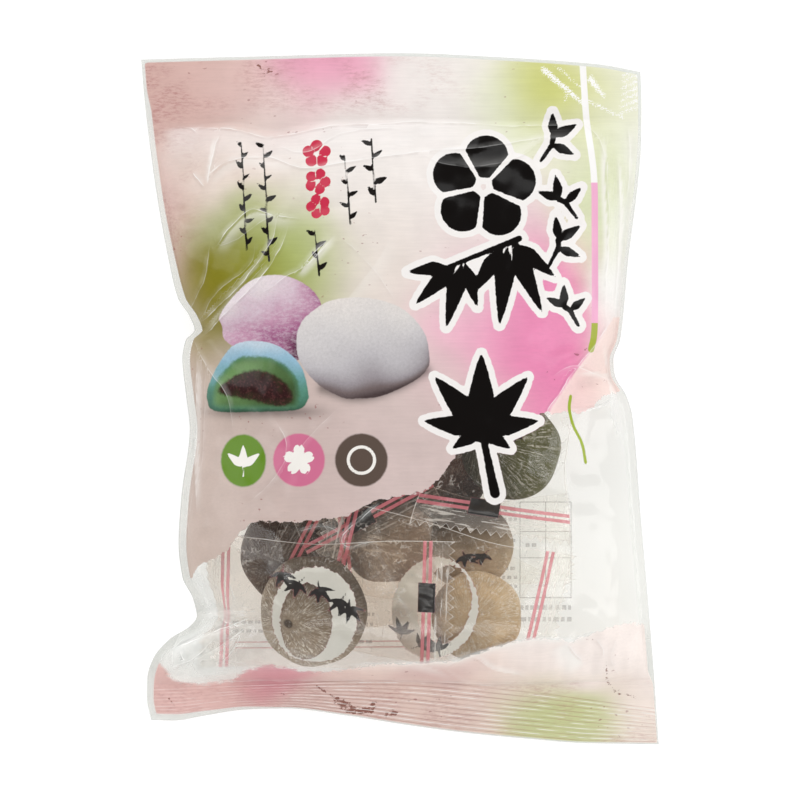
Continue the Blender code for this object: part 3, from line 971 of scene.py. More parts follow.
def print_colour(tree):
    """The printed picture, from its ground up to the bold motifs, with painted highlights on its ground."""
    ground = tree.stored("clouds", colour=True)
    fibres = tree.noise(1.0, 4.0, (16, 0.8, 1), 0.6).ramp(0.3, 0.7, 0.965, 1.025, even=False)
    ground = tree.blend(1.0, ground, fibres, "MULTIPLY")
    mottle = tree.noise(9, 4.0).ramp(0.3, 0.7, 0.965, 1.025, even=False)
    ground = tree.blend(1.0, ground, mottle, "MULTIPLY")
    specks = tree.noise(1.5, 1.0, (1.6, 1, 1)).ramp(0.72, 0.76) * tree.noise(30, 1.0).ramp(0.5, 0.62)
    ground = tree.blend(specks * 0.55, ground, (142, 78, 78))
    dry = tree.noise(1.0, 6.0, (3.0, 0.9, 1), 0.75).ramp(0.4, 0.7)
    dry = dry * tree.noise(16, 3.0).ramp(0.4, 0.62) * tree.stored("dry_brush")
    ground = tree.blend(dry, ground, (176, 124, 122))
    flecks = tree.stored("flecks").multiply_add(0.34, tree.noise(1.1, 4.0, (1.5, 1, 1), 0.65))
    ground = tree.blend(flecks.ramp(0.72, 0.8, 0.0, 0.85), ground, (126, 76, 62))
    # Painted highlight beside the larger folds, over the ground.
    colour = tree.blend(tree.stored("sheen"), ground, PAINTED_SHEEN_WHITE)
    powder = tree.noise(0.9, 5.0, roughness=0.75).ramp(0.3, 0.7, 0.89, 1.09, even=False)
    clumps = tree.noise(2.6, 6.0, (1.0, 0.5, 1), 0.8).ramp(0.42, 0.66, 0.0, 0.42)
    grains = tree.noise(0.9, 4.0).ramp(0.5, 0.66, 0.0, 0.6)
    for name in ("rose", "white", "green", "face", "filling"):
        dusted = tree.blend(1.0, tree.stored(name + "_colour", True), powder, "MULTIPLY")
        if name == "filling":
            dusted = tree.blend(grains, dusted, (88, 50, 50))
        if name == "rose":
            dusted = tree.blend(clumps, dusted, (222, 212, 220))
        soft = 0.7 if name in ("filling", "face") else 0.25
        edge = tree.rough_edge(name, soft, 1.4).inside(soft)
        colour = tree.blend(edge, colour, dusted)
    across, along = (tree.add("SeparateXYZ", {0: tree.where()}, axis) for axis in "XY")
    past_green, past_rose = (across > (gap + SHIFT[0]) * MM for gap in DISC_GAPS)
    disc_colour = tree.blend(past_green, (98, 136, 34), (204, 112, 144))
    disc_colour = tree.blend(past_rose, disc_colour, (92, 78, 70))
    white_end, rose_end = (along > (end + SHIFT[1]) * MM for end in RIBBON_ENDS)
    ribbon_colour = tree.blend(rose_end, (166, 176, 70), (238, 176, 206))
    ribbon_colour = tree.blend(white_end, ribbon_colour, (246, 244, 242))
    bold = tree.rough_edge("bold", 0.28, 1.3)
    for share, ink in (
        (tree.rough_edge("discs", 0.15, 1.0).inside(0.4), disc_colour),
        (tree.stored("disc_marks").inside(), (240, 236, 230)),
        (tree.stored("ribbon").inside(), ribbon_colour),
        (tree.rough_edge("twigs", 1.9, 0.4, 1.0).inside(), (248, 247, 244)),
        (tree.rough_edge("sprigs", 0.12, 0.9).inside(), (24, 20, 18)),
        (tree.stored("blossoms").inside(), (198, 52, 78)),
        (tree.stored("tendril").inside(), (156, 176, 62)),
        (bold_outline(bold), (240, 236, 233)),
        (bold.inside(), (17, 14, 13)),
    ):
        colour = tree.blend(share, colour, ink)
    return colour


def printed_part(tree):
    """1 where the front film is printed, and 0 where it is clear."""
    tear = tree.noise(2.4, 5.0, (1.6, 0.9, 1), 0.62) - 0.5
    window = tear.multiply_add(4.6, tree.stored("window")) * tree.stored("crispness")
    shut = window.ramp(-0.15, 0.15, 1.0, 0.0)
    margin = tree.stored("print_edge").ramp(-0.2, 0.2)
    ground = shut * margin
    bold = bold_outline(tree.rough_edge("bold", 0.28, 1.3))
    return most(ground, most(bold, tree.stored("tendril").inside()))


def seal_haze(tree, through=0.015):
    """How milky clear film is: most at the cut edge and where the two sheets are sealed."""
    edge = tree.stored("edge")
    sealed = edge.ramp(SIDE_SEAL - 0.4, SIDE_SEAL + 1.6).multiply_add(-1.0, 1.0)
    sealed = sealed.multiply_add(tree.stored("seal_milk"), through)
    return most(sealed, edge.ramp(0.2, 0.5, 0.5, 0.0))


def crease_lines(tree):
    """How white the film is along its sharp creases, partly its own whitening and partly painted highlight
    with a painted glow to one side, and the painted shade beside them.
    """
    wiggle = tree.noise(9, 2.0) - 0.5
    off = wiggle.multiply_add(1.6, tree.stored("crease"))
    strength = tree.stored("crease_white") * tree.noise(6, 3.0).ramp(0.36, 0.6, 0.3, 1.0)
    core = abs(off).ramp(0.04, 0.26, 0.9, 0.0)
    # A painted glow on one side of each crease.
    glow = off.ramp(0.1, 2.2, 0.26, 0.0) * (off > 0.0)
    line = most(core, glow) * strength
    # Painted shade beside each crease, on its other side.
    shaded = abs(off + 0.6).ramp(0.1, 0.7, 0.8, 0.0) * strength
    return line, shaded


def rib_lines(tree):
    """Painted shade as thin dark lines in the grooves between the ribs of the bottom seal, and painted
    glints as light lines on them.
    """
    place_across = tree.stored("rib_place")
    bend = tree.noise(9, 4.0, (4, 1, 1)).multiply_add(0.06, place_across)
    wave = (bend * (2 * np.pi * RIBS)).maths("COSINE")
    on_ribs = place_across.ramp(-0.03, 0.05, 1.0, 0.0) * tree.stored("ribbed")
    broken = tree.noise(3, 3.0, (5, 1, 1)).ramp(0.3, 0.6, 0.2, 1.0)
    # Painted shade in the grooves.
    dark = wave.ramp(0.72, 1.0) * (on_ribs * broken)
    glint = tree.noise(2.2, 3.0, (5, 1, 1)).ramp(0.45, 0.6)
    # Painted glints on the crests.
    light = wave.ramp(-0.7, -1.0) * (on_ribs * glint)
    return dark, light


def front_material():
    """The print, with the film's creases and haze over it, painted highlights and painted shade at its
    creases, folds and ribs, and clear film in the window.
    """
    tree = Tree("printed_film")
    colour = print_colour(tree)
    line, shaded = crease_lines(tree)
    rib_painted_shade, rib_painted_glint = rib_lines(tree)
    # Painted shade in the rib grooves, and painted glints on the ribs.
    colour = tree.blend(rib_painted_shade * 0.42, colour, (160, 104, 98))
    colour = tree.blend(rib_painted_glint * 0.7, colour, (252, 250, 247))
    # Painted shade beside the creases.
    colour = tree.blend(shaded * 0.16, colour, (120, 100, 92), "MULTIPLY")
    # Painted highlight beside the larger folds.
    colour = tree.blend(tree.stored("sheen") * 0.25, colour, PAINTED_SHEEN_WHITE)
    # Crease lines, partly the film's whitening and partly painted highlight, fainter over the bold motifs.
    calm = tree.stored("bold").inside().multiply_add(-0.55, 0.85)
    colour = tree.blend(line * calm, colour, (250, 248, 246))
    normal = tree.bump(tree.noise(3.4, 3.0), 0.14, 0.3)
    roughness = tree.noise(12, 3.0).ramp(0.3, 0.7, 0.14, 0.22, even=False)
    printed = tree.add("BsdfPrincipled", {
        "Base Color": colour, "Roughness": roughness, "IOR": 1.45, "Specular IOR Level": 0.12,
        "Normal": normal,
    })
    # The clear film is milkier at the crease lines, their painted shade and the painted highlights beside
    # folds.
    marked = most(line * 0.8, shaded * 0.45, tree.stored("sheen"))
    milk = tree.stored("milk") * tree.noise(9, 3.0).ramp(0.35, 0.65, 0.55, 1.0)
    haze = most(marked, most(milk, seal_haze(tree)))
    in_corner = tree.stored("milk").ramp(0.02, 0.3)
    veil_colour = tree.blend(in_corner, (228, 231, 228), (196, 199, 195))
    # Painted shade and painted highlights in the clear film's veil colour.
    veil_colour = tree.blend(shaded, veil_colour, (160, 163, 160))
    veil_colour = tree.blend(tree.stored("sheen") * 1.5, veil_colour, (246, 246, 244))
    veil_colour = tree.blend(line, veil_colour, (252, 252, 250))
    clear = tree.clear_film(normal, haze, veil_colour)
    shut = tree.stored("window").ramp(-0.3, 0.3, 1.0, 0.0)
    let_in = tree.blend(0.3, (132, 128, 124), tree.stored("clouds", colour=True))
    let_in = tree.blend(shut, (253, 252, 251), let_in)
    film = tree.mix(printed_part(tree), clear, printed)
    return tree.finish(tree.let_light_in(film, let_in))


def back_material():
    """Clear film, a little rosy along the bottom."""
    tree = Tree("back_film")
    normal = tree.bump(tree.noise(6, 3.0), 0.25, 0.35)
    haze = most(seal_haze(tree, 0.05), tree.stored("blush"))
    colour = tree.blend(tree.stored("blush"), (226, 229, 226), (190, 150, 138))
    return tree.finish(tree.let_light_in(tree.clear_film(normal, haze, colour), (250, 250, 248)))


# ------------------------------------------------------------------------------------------- films

FRONT_COLUMNS, FRONT_BODY_ROWS, FRONT_TOP_ROWS, ROWS_PER_RIB = 230, 262, 24, 8
BACK_COLUMNS, BACK_BODY_ROWS, BACK_END_ROWS = 120, 150, 14


def sheet_places(columns, bottom_rows, body_rows, top_rows):
    """The drawing places of a sheet's grid, from its bottom left corner."""
    v = np.concatenate([
        np.linspace(0, 1, bottom_rows, endpoint=False),
        np.linspace(1, 2, body_rows, endpoint=False),
        np.linspace(2, 3, top_rows + 1),
    ])
    u, v = np.meshgrid(np.linspace(0, 1, columns + 1), v)
    x, y = outline_point(u.ravel(), v.ravel())
    return x, y, len(v)


def edge_distance(x, y):
    """How far a place is from the nearest outer edge of the bag."""
    return nearest([from_sides(x, y), y - curve(BOTTOM_END, x), curve(TOP_END, x) - y])


def print_margin(x, y):
    """The width of the clear border, which is widest at the left and narrow at the bottom right."""
    waist = 0.7 * (1 - smooth(-60, -40, x)) * (1 - smooth(30, 70, y))
    narrow = np.maximum(smooth(102, 112, y), smooth(64, 80, x) * smooth(-40, 0, y))
    bottom = smooth(-96, -102, y) * (0.4 + 1.3 * smooth(-84, -56, x))
    return MARGIN + waist - 0.9 * np.maximum(narrow, bottom)


def seal_milk(x, y):
    """How milky the sealed border is: most at the ends, and hardly at the sides."""
    return 0.12 + 0.4 * smooth(90, 108, y) + 0.25 * smooth(-78, -92, y)


def crispness(x, y):
    """1 where the window's edge is crisp, less along its lower left, where the print fades out."""
    return 1 - 0.86 * (1 - smooth(-42, 4, x)) * smooth(-84, -90, y)


def milky_corner(x, y):
    """How milky the crumpled clear film is in the lower left corner, and along the left side."""
    corner = 0.6 * np.exp(-(((x + 70) / 22) ** 2 + ((y + 84) / 19) ** 2) ** 1.5)
    return np.maximum(corner, 0.4 * np.exp(-(((x + 70) / 14) ** 2 + ((y + 62) / 22) ** 2)))


def flat_map(x, y):
    """The bake map of a film: its plan, inside the unit square."""
    span = TOP_END[2][1] - BOTTOM_END[-1][1] + 4
    return np.column_stack([(x - LEFT_SIDE[-1][1] + 2) / span, (y - BOTTOM_END[-1][1] + 2) / span])


def front_film():
    """The printed sheet, with everything that its material reads stored on its points."""
    x, y, rows = sheet_places(FRONT_COLUMNS, RIBS * ROWS_PER_RIB, FRONT_BODY_ROWS, FRONT_TOP_ROWS)
    film = make_mesh("front_film", place(x, y, fine_front(x, y)),
                     grid_faces(rows, FRONT_COLUMNS + 1), flat_map(x, y))
    _, crease, white = crease_relief(x, y)
    discs, marks = disc_shapes(x, y)
    store(
        film, clouds=cloud_and_painted_sheen_colour(x, y) * cast_shade(x, y)[:, None], flecks=brown_flecks(x, y),
        dry_brush=dry_brush(x, y), discs=discs, disc_marks=marks, bold=bold_motifs(x, y),
        sprigs=small_motifs(x, y), blossoms=red_motifs(x, y), twigs=twig_shape(x, y),
        ribbon=np.abs(off_path(x, y, RIBBON)[0]) - 1.15,
        tendril=np.abs(off_path(x, y, TENDRIL)[0]) - 0.55,
        window=np.minimum(curve(WINDOW_TOP, x) - y, y - curve(WINDOW_LOW, x)),
        print_edge=edge_distance(x, y) - print_margin(x, y), crispness=crispness(x, y),
        rib_place=np.clip(rib_place(x, y), -1.2, 0.5), ribbed=0.45 + 0.55 * smooth(-60, -20, x),
        edge=edge_distance(x, y), seal_milk=seal_milk(x, y), milk=milky_corner(x, y),
        crease=crease, crease_white=white, sheen=sheens(x, y),
    )
    for name, (shape, colours) in pictured_cakes(x, y).items():
        store(film, **{name: shape, name + "_colour": colours})
    film.data.materials.append(front_material())
    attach(film, "root")
    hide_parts("bag")


LABEL_SIDES = (44.0, 53.2, 62.3)  # the upright lines of the label's table
LABEL_LINES = (-36.4, -47.0, -56.4, -70.7)  # its level lines


def label_strips():
    """The label's table, its rows of short plain bars, and two rose lines: each strip as its ends, its
    width and whether it is rose."""
    rng = np.random.default_rng(8)
    low, high = LABEL_LINES[-1], LABEL_LINES[0]
    strips = [((x, low), (x, high), 0.26, 0) for x in LABEL_SIDES]
    strips += [((LABEL_SIDES[0], y), (LABEL_SIDES[-1], y), 0.26, 0) for y in LABEL_LINES]
    rows = [(36, 43, y, 1.2) for y in (-39.2, -42.6, -50.2, -53.0, -60.2, -63.4, -66.6)]
    rows += [(46, 51, y, 1.3) for y in (-41.8, -51.8)] + [(40, 62.5, y, 1.6) for y in (-74.2, -78.4)]
    rows += [(-56, -44, y, 1.2) for y in (-45.4, -48.8, -52.2, -55.6)]
    rows += [(-59, -46, y, 1.1) for y in (-79.4, -82.6)]
    rows += [(-22, -8, y, 1.2) for y in (-76.6, -80.2, -86.4)]
    for start, stop, y, width in rows:
        while start < stop - 1:
            end = min(start + rng.uniform(0.8, 2.2), stop)
            strips.append(((start, y), (end, y), width, 0))
            start = end + rng.uniform(0.6, 1.0)
    strips += [((-58, y), (30, y + 0.6), 0.5, 1) for y in (-86.6, -88.6)]
    return strips


def back_label():
    """Thin strips just over the back film, inside the bag."""
    corners, rose, rule = [], [], []
    for (x0, y0), (x1, y1), width, is_rose in label_strips():
        pieces = max(1, int(np.hypot(x1 - x0, y1 - y0) / 4))
        along = np.linspace(0, 1, pieces + 1)
        xs, ys = x0 + (x1 - x0) * along, y0 + (y1 - y0) * along
        side = np.array([y0 - y1, x1 - x0]) / np.hypot(x1 - x0, y1 - y0) * width / 2
        for k in range(pieces):
            corners += [(xs[k] - side[0], ys[k] - side[1]), (xs[k + 1] - side[0], ys[k + 1] - side[1]),
                        (xs[k + 1] + side[0], ys[k + 1] + side[1]), (xs[k] + side[0], ys[k] + side[1])]
            rose += [is_rose] * 4
            rule += [width < 1] * 4
    x, y = np.array(corners).T
    faces = np.arange(len(x)).reshape(-1, 4)
    label = make_mesh("back_label", place(x, y, back_height(x, y) + 0.12), faces)
    store(label, rose=rose, rule=rule)
    label.data.materials.append(label_material())
    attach(label, "root")


def label_material():
    """Thin ink: rose lines, dark rules and paler bars."""
    tree = Tree("label_ink")
    colour = tree.blend(tree.stored("rose"), (132, 126, 122), (236, 180, 182))
    ink = tree.add("BsdfDiffuse", {"Color": colour})
    through = tree.add("BsdfTransparent")
    solid = tree.stored("rule").multiply_add(0.25, 0.35)
    return tree.finish(tree.mix(solid, through, ink))


def back_film():
    """The clear sheet that the bag lies on."""
    x, y, rows = sheet_places(BACK_COLUMNS, BACK_END_ROWS, BACK_BODY_ROWS, BACK_END_ROWS)
    faces = grid_faces(rows, BACK_COLUMNS + 1)[:, ::-1]
    film = make_mesh("back_film", place(x, y, back_height(x, y)), faces, flat_map(x, y))
    blush = 0.34 * smooth(-70, -90, y) * (1 - smooth(24, 50, x)) * smooth(-74, -56, x)
    store(film, edge=edge_distance(x, y), seal_milk=seal_milk(x, y), blush=blush)
    film.data.materials.append(back_material())
    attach(film, "root")


# --------------------------------------------------------------------------- wrapped rice cakes


@dataclass
class Cake:
    """One wrapped rice cake. Lengths along (s) and across (t) start at its wrapper's middle."""

    name: str
    x: float
    y: float
    mid: float  # the height of the cake's middle
    turn: float  # of the wrapper, in degrees
    slide: float  # how far the cake lies along the wrapper
    colour: tuple
    radius: float = 17.5
    half: float = 10.0  # half of the cake's height
    ring: tuple = None  # the place of the wrapper's printed ring
    marks: tuple = ()  # printed leaves, as (along, across, turn)
    block: int = 0  # the end with the dark block, -1 or 1
    block_at: float = 4.0  # the block's place across
    narrow: float = 0.88  # how much of its width the wrapper keeps
    pinch: float = 0.08  # how much the cake draws the wrapper in
    taper: float = 0.0  # how much narrower the far end is pressed
    aside: float = 0.0  # how far the cake lies across the wrapper
    gills: float = 0.3  # how strong the dough's fine lines are
    spot: tuple = (-9.0, -5.0)  # where those lines run out from
    oval: float = 1.0  # how far the cake is stretched across
    dust: float = 0.04  # starch on the dough
    # Painted shade: the dough darkens toward one side.
    painted_shade_side: tuple = (180, 0.3)  # the side to which the dough darkens, and by what share
    painted_shade_from: float = -0.7  # where that begins, in radii from the middle
    stripes: tuple = (1, 1)  # whether the near and the far end have stripes
    veil: float = 1.0  # how milky the wrapper is

    def to_drawing(self, s, t):
        """Places along and across the wrapper, as drawing places."""
        s, t, turn = s - self.slide, t - self.aside, np.radians(self.turn)
        return (self.x + s * np.cos(turn) - t * np.sin(turn),
                self.y + s * np.sin(turn) + t * np.cos(turn))


# From the lowest to the highest, so that each wrapper lies over those before it.
CAKES = [
    # green_deep: a dark olive cake, its colour partly its own and partly painted shade from the print
    # above.
    Cake("green_deep", -36.5, -54.5, 10.6, -2, -10.5, (74, 51, 35), 18.9, 9.6, painted_shade_side=(60, 0.5),
         stripes=(0, 0), veil=0.2),
    Cake("tan_deep", -3.5, -47.5, 10.4, -27, -10.4, (154, 140, 129), 17.4, 9.5, taper=0.5,
         painted_shade_side=(120, 1.0), painted_shade_from=-0.45, stripes=(1, 0), veil=0.25),
    # rose_deep: a rose cake whose colour is darkened to brown, painted shade from the print above.
    Cake("rose_deep", 14.8, -24, 11.0, 80, -10, (98, 68, 55), 18.6, 9.5, painted_shade_side=(-85, 0.9),
         painted_shade_from=-0.3, stripes=(0, 0), veil=0.5),
    Cake("brown_deep", 25.5, -52, 9.8, 5, 8, (190, 170, 144), 15.8, 9.0, taper=0.4,
         marks=((6, -4, 30), (13, -5, -20)), painted_shade_side=(105, 0.95), stripes=(1, 0), veil=0.4),
    Cake("tan_hidden", -19.4, -23.4, 15.0, 118, -16, (84, 64, 54), 14.8, 9.0, block=-1, veil=0.4),
    Cake("tan_right", 28, -76, 23.5, 166.3, -15.1, (194, 168, 134), 16.0, 9.2, ring=(-0.2, 4.0),
         marks=((9, 18, 20), (2, 21, -30), (-5, 21, 40)), block=1, aside=2.5, gills=0.65,
         spot=(3.0, 2.0), painted_shade_side=(200, 0.35), dust=0.1, veil=0.8),
    Cake("beige_left", -29.6, -74.4, 25.0, -1.5, -4, (152, 134, 114), 18.8, ring=(-3.3, -1.5),
         marks=((-15, 17, 15), (-9, 13, -20), (-2, 11, 30), (6, 6, -10), (9, 3, 25)), block=1,
         block_at=7.0, gills=1.0, oval=1.06, dust=0.12, painted_shade_side=(60, 0.7), spot=(-8.4, -4.0), veil=0.8),
    Cake("green_right", 40.2, -17.3, 25.0, 81.5, -14.1, (84, 82, 42),
         marks=((-3, -9, 40), (-6, -4, -60)), block=-1, narrow=1.0, pinch=0.25, taper=0.4,
         aside=-2.6, gills=0.6, spot=(2.0, 13.0), painted_shade_side=(190, 0.8), dust=0.06),
]
WRAP_LONG, WRAP_WIDE = 45.5, 29.5  # half of a wrapper's length and width
CRIMP = 7.5  # how long its sealed ends are
TEETH, TOOTH_DEPTH = 16, 2.2
RIDGE_PITCH = 1.25  # of the pressed ridges in a wrapper's ends
MAP_SPAN = 205.0  # the side of a wrapper's square bake map, in which its two sheets lie
STRIPE_AT = 35.8  # how far from its middle the stripes run
BLOCK_WIDE = 5.8  # half of the dark block's width
UNDER_FILM = 0.9  # the room that is kept below the front film
MOST_MIRRORED = 0.12  # of the light that falls on clear film


def wrapper_grid(steps_body, steps_crimp, columns):
    """Places along (s) and across (t) a wrapper, with toothed ends."""
    body = WRAP_LONG - CRIMP
    crimp = np.linspace(body, WRAP_LONG, steps_crimp + 1)
    s = np.concatenate([-crimp[:0:-1], np.linspace(-body, body, steps_body + 1), crimp[1:]])
    t = np.linspace(-WRAP_WIDE, WRAP_WIDE, columns + 1)
    s, t = np.meshgrid(s, t, indexing="ij")
    saw = np.abs((np.arange(columns + 1) * TEETH / columns + 0.5) % 1 - 0.5) * 2
    rim = np.minimum(WRAP_LONG - np.abs(s), WRAP_WIDE - np.abs(t))
    ends = smooth(WRAP_LONG - 2.4, WRAP_LONG, np.abs(s))
    return s - np.sign(s) * ends * TOOTH_DEPTH * saw, t, rim


def cake_profile(cake, s, t):
    """Half of the cake's height over each place of its wrapper, 0 beyond it."""
    off = np.hypot(s - cake.slide, (t - cake.aside) / cake.oval) / cake.radius
    return cake.half * np.sqrt(np.clip(1 - off**2.3, 0, 1))


def soften(values, rounds):
    """Evens out a grid of heights."""
    for _ in range(rounds):
        padded = np.pad(values, 1, mode="edge")
        values = (padded[:-2, 1:-1] + padded[2:, 1:-1] + padded[1:-1, :-2] + padded[1:-1, 2:]) / 4
    return values


class Stack:
    """The height of what has been laid in the bag so far, on a grid of cells."""

    CELL = 1.5
    LOW = -130.0
    COUNT = 175

    def __init__(self):
        self.height = np.zeros((self.COUNT, self.COUNT))

    def cells(self, x, y):
        """The row and the column of the cell at each place."""
        column = ((x - self.LOW) / self.CELL).astype(int).clip(0, self.COUNT - 1)
        row = ((y - self.LOW) / self.CELL).astype(int).clip(0, self.COUNT - 1)
        return row, column

    def under(self, x, y):
        """How high the pile is at each place."""
        return self.height[self.cells(x, y)]

    def lay(self, x, y, z):
        """Lays a sheet on the pile."""
        np.maximum.at(self.height, self.cells(x, y), z)


def squeeze(value, low, high, give=8.0):
    """Presses values softly between two limits."""
    over, under = value - (high - give), (low + give) - value
    value = np.where(over > 0, high - give * np.exp(-over.clip(0) / give), value)
    return np.where(under > 0, low + give * np.exp(-under.clip(0) / give), value)


def keep_in(x, y):
    """Presses the places of a wrapper inside the bag's seals."""
    x = squeeze(x, curve(LEFT_SIDE, y) + 6, curve(RIGHT_SIDE, y) - 6)
    return x, squeeze(y, curve(BOTTOM_SEAL, x) + 3, curve(TOP_SEAL, x) - 3)


def wrapper_heights(cake, stack, s, t, seed):
    """Heights of the upper and the lower sheet of a wrapper over its grid."""
    drawn_in = cake.narrow * (1 - cake.pinch * np.exp(-(((s - cake.slide) / 19) ** 2)))
    wide = t * drawn_in * (1 - cake.taper * smooth(-14, 24, s))
    x, y = keep_in(*cake.to_drawing(s, wide))
    body = WRAP_LONG - CRIMP
    ceiling = fine_front(x.ravel(), y.ravel()).reshape(x.shape) - UNDER_FILM
    floor = np.maximum(back_height(x.ravel(), y.ravel()).reshape(x.shape), stack.under(x, y)) + 0.4
    floor = np.maximum(soften(floor, 6), floor)
    inner = shoulder(body - np.abs(s), 20) * shoulder(WRAP_WIDE - np.abs(t), 13)
    off = np.hypot(s - cake.slide, (wide - cake.aside) / cake.oval)
    reach = smooth(cake.radius * 0.9, body, off)
    middle = cake.mid * (1 - reach) + (floor + 1.2) * reach
    bell = 1 - smooth(cake.radius * 0.5, cake.radius * 2.0, off)
    around = np.arctan2(wide - cake.aside, s - cake.slide)
    rays = waves(np.cos(around) * 30, np.sin(around) * 30, 9, seed)
    rays *= smooth(cake.radius * 0.7, cake.radius * 1.1, off) * inner
    pleats = waves(s, t, 4.2, seed + 1, stretch=0.35) * np.exp(-(body - np.abs(s)).clip(0) / 9)
    top = middle + cake.half * bell * inner + 1.0 * rays + 0.6 * pleats * inner
    top += 0.4 * waves(s, t, 8, seed + 2) * inner
    low = middle - cake.half * 0.9 * bell * inner - 0.8 * rays * inner
    solid = cake_profile(cake, s, wide)
    pressed = np.minimum(cake.mid + solid, ceiling - 0.5)
    top = np.where(solid > 0, np.maximum(top, pressed + 0.35), top)
    low = np.where(solid > 0, np.minimum(low, cake.mid - solid - 0.35), low)
    low = np.maximum(low, np.where(solid > 0, 0.6, floor))
    ribs = 0.16 * np.sin(2 * np.pi * np.abs(s) / RIDGE_PITCH) * smooth(body, body + 1, np.abs(s))
    sealed = smooth(body - 1, body + 0.5, np.abs(s))
    top = np.maximum(top, low + 0.25)
    top = top * (1 - sealed) + (low + 0.2) * sealed + ribs
    top = np.minimum(soften(top, 1), ceiling)
    low = np.minimum(low * (1 - sealed) + (top - 0.12) * sealed, top - 0.1)
    return x, y, top, low


def brush_marks(s, t, clusters):
    """Small brushed leaves in clusters, each with a short twig."""
    shapes = [np.full(s.shape, FAR)]
    for at_s, at_t, turn in clusters:
        shapes.append(capsule(s, t, (at_s, at_t), toward((at_s, at_t), turn + 70, 3), 0.4, 0.25))
        for angle, length, width in ((198, 6.2, 1.7), (238, 7.4, 2.0), (276, 7.8, 2.1), (318, 6.0, 1.7)):
            shapes.append(leaf(s, t, (at_s, at_t), angle + turn, length, width))
    return nearest(shapes)


def brushed_ring(s, t, at):
    """A ring brushed thick on one side: below 0 inside the stroke."""
    outer = (np.hypot((s - at[0]) / 15, (t - at[1]) / 21.5) - 1) * 16
    inner = (np.hypot((s - at[0] + 2.9) / 9.1, (t - at[1] + 2.6) / 16.9) - 1) * 11
    return np.maximum(outer, -inner)


def wrapper_material():
    """Clear crinkled film with pink stripes; some wrappers have a dark block over the stripes at one end,
    and some a white ring.
    """
    tree = Tree("wrapper_film")
    along, across = tree.stored("along"), tree.stored("across")
    outward = abs(along)
    from_stripe = abs(outward - STRIPE_AT)
    twin = abs(from_stripe - 1.05)
    stripe = twin.ramp(0.5, 0.7, 1.0, 0.0) * tree.stored("striped")
    block = from_stripe.ramp(2.9, 3.1, 1.0, 0.0) * tree.stored("block").inside()
    ring = tree.rough_edge("ring", 1.1, 1.3, 5.0).inside(0.15)
    marks = tree.rough_edge("marks", 0.25, 0.8).inside(0.12)
    colour = tree.blend(ring, (228, 132, 144), (216, 213, 204))
    dark = most(block, marks)
    colour = tree.blend(dark, colour, (22, 16, 16))
    cover = most(stripe * 0.6, ring * 0.9, dark * 0.95)

    crimp = outward.ramp(WRAP_LONG - CRIMP - 0.2, WRAP_LONG - CRIMP + 0.5)
    ridges = (along * (2 * np.pi / RIDGE_PITCH)).maths("SINE")
    pleats = tree.noise(2.4, 3.0, vector=tree.add("CombineXYZ", {0: along * 0.14, 1: across}))
    crumple = tree.noise(9, 3.0, vector=tree.add("CombineXYZ", {0: along, 1: across}))
    streaks = tree.noise(0.9, 2.0, vector=tree.add("CombineXYZ", {0: along, 1: across * 0.07}))
    height = (ridges - pleats).multiply_add(crimp, pleats)
    normal = tree.bump(height + crumple, 0.4, 0.35)
    # Milky lines on the crumples, streaks near the sealed ends and a whiter rim: partly the film's
    # whitening and partly painted highlight.
    fold_lines = abs(crumple - 0.5).ramp(0.003, 0.012, 0.3, 0.0) * pleats.ramp(0.4, 0.62)
    near_end = outward.ramp(WRAP_LONG - CRIMP - 3.0, WRAP_LONG - CRIMP + 1.0)
    ridge_lines = streaks.ramp(0.54, 0.62, 0.0, 0.4) * near_end
    rim = tree.stored("rim").ramp(0.2, 0.45, 0.5, 0.0)
    haze = most(fold_lines, ridge_lines, rim, crimp.multiply_add(0.06, 0.012)) * tree.stored("veil")

    ink = tree.add("BsdfPrincipled", {
        "Base Color": colour, "Roughness": 0.3, "IOR": 1.5, "Normal": normal,
    })
    # The film is a little less clear and warmer left of X 32, fading out by X 44.
    tint = tree.blend(tree.stored("dusty"), (254, 254, 253), (252, 250, 248))
    clear = tree.clear_film(normal, haze, (244, 240, 235), tint, gloss_index=1.16)
    let_in = tree.blend(cover, (253, 252, 250), (150, 120, 120))
    return tree.finish(tree.let_light_in(tree.mix(cover, clear, ink), let_in))


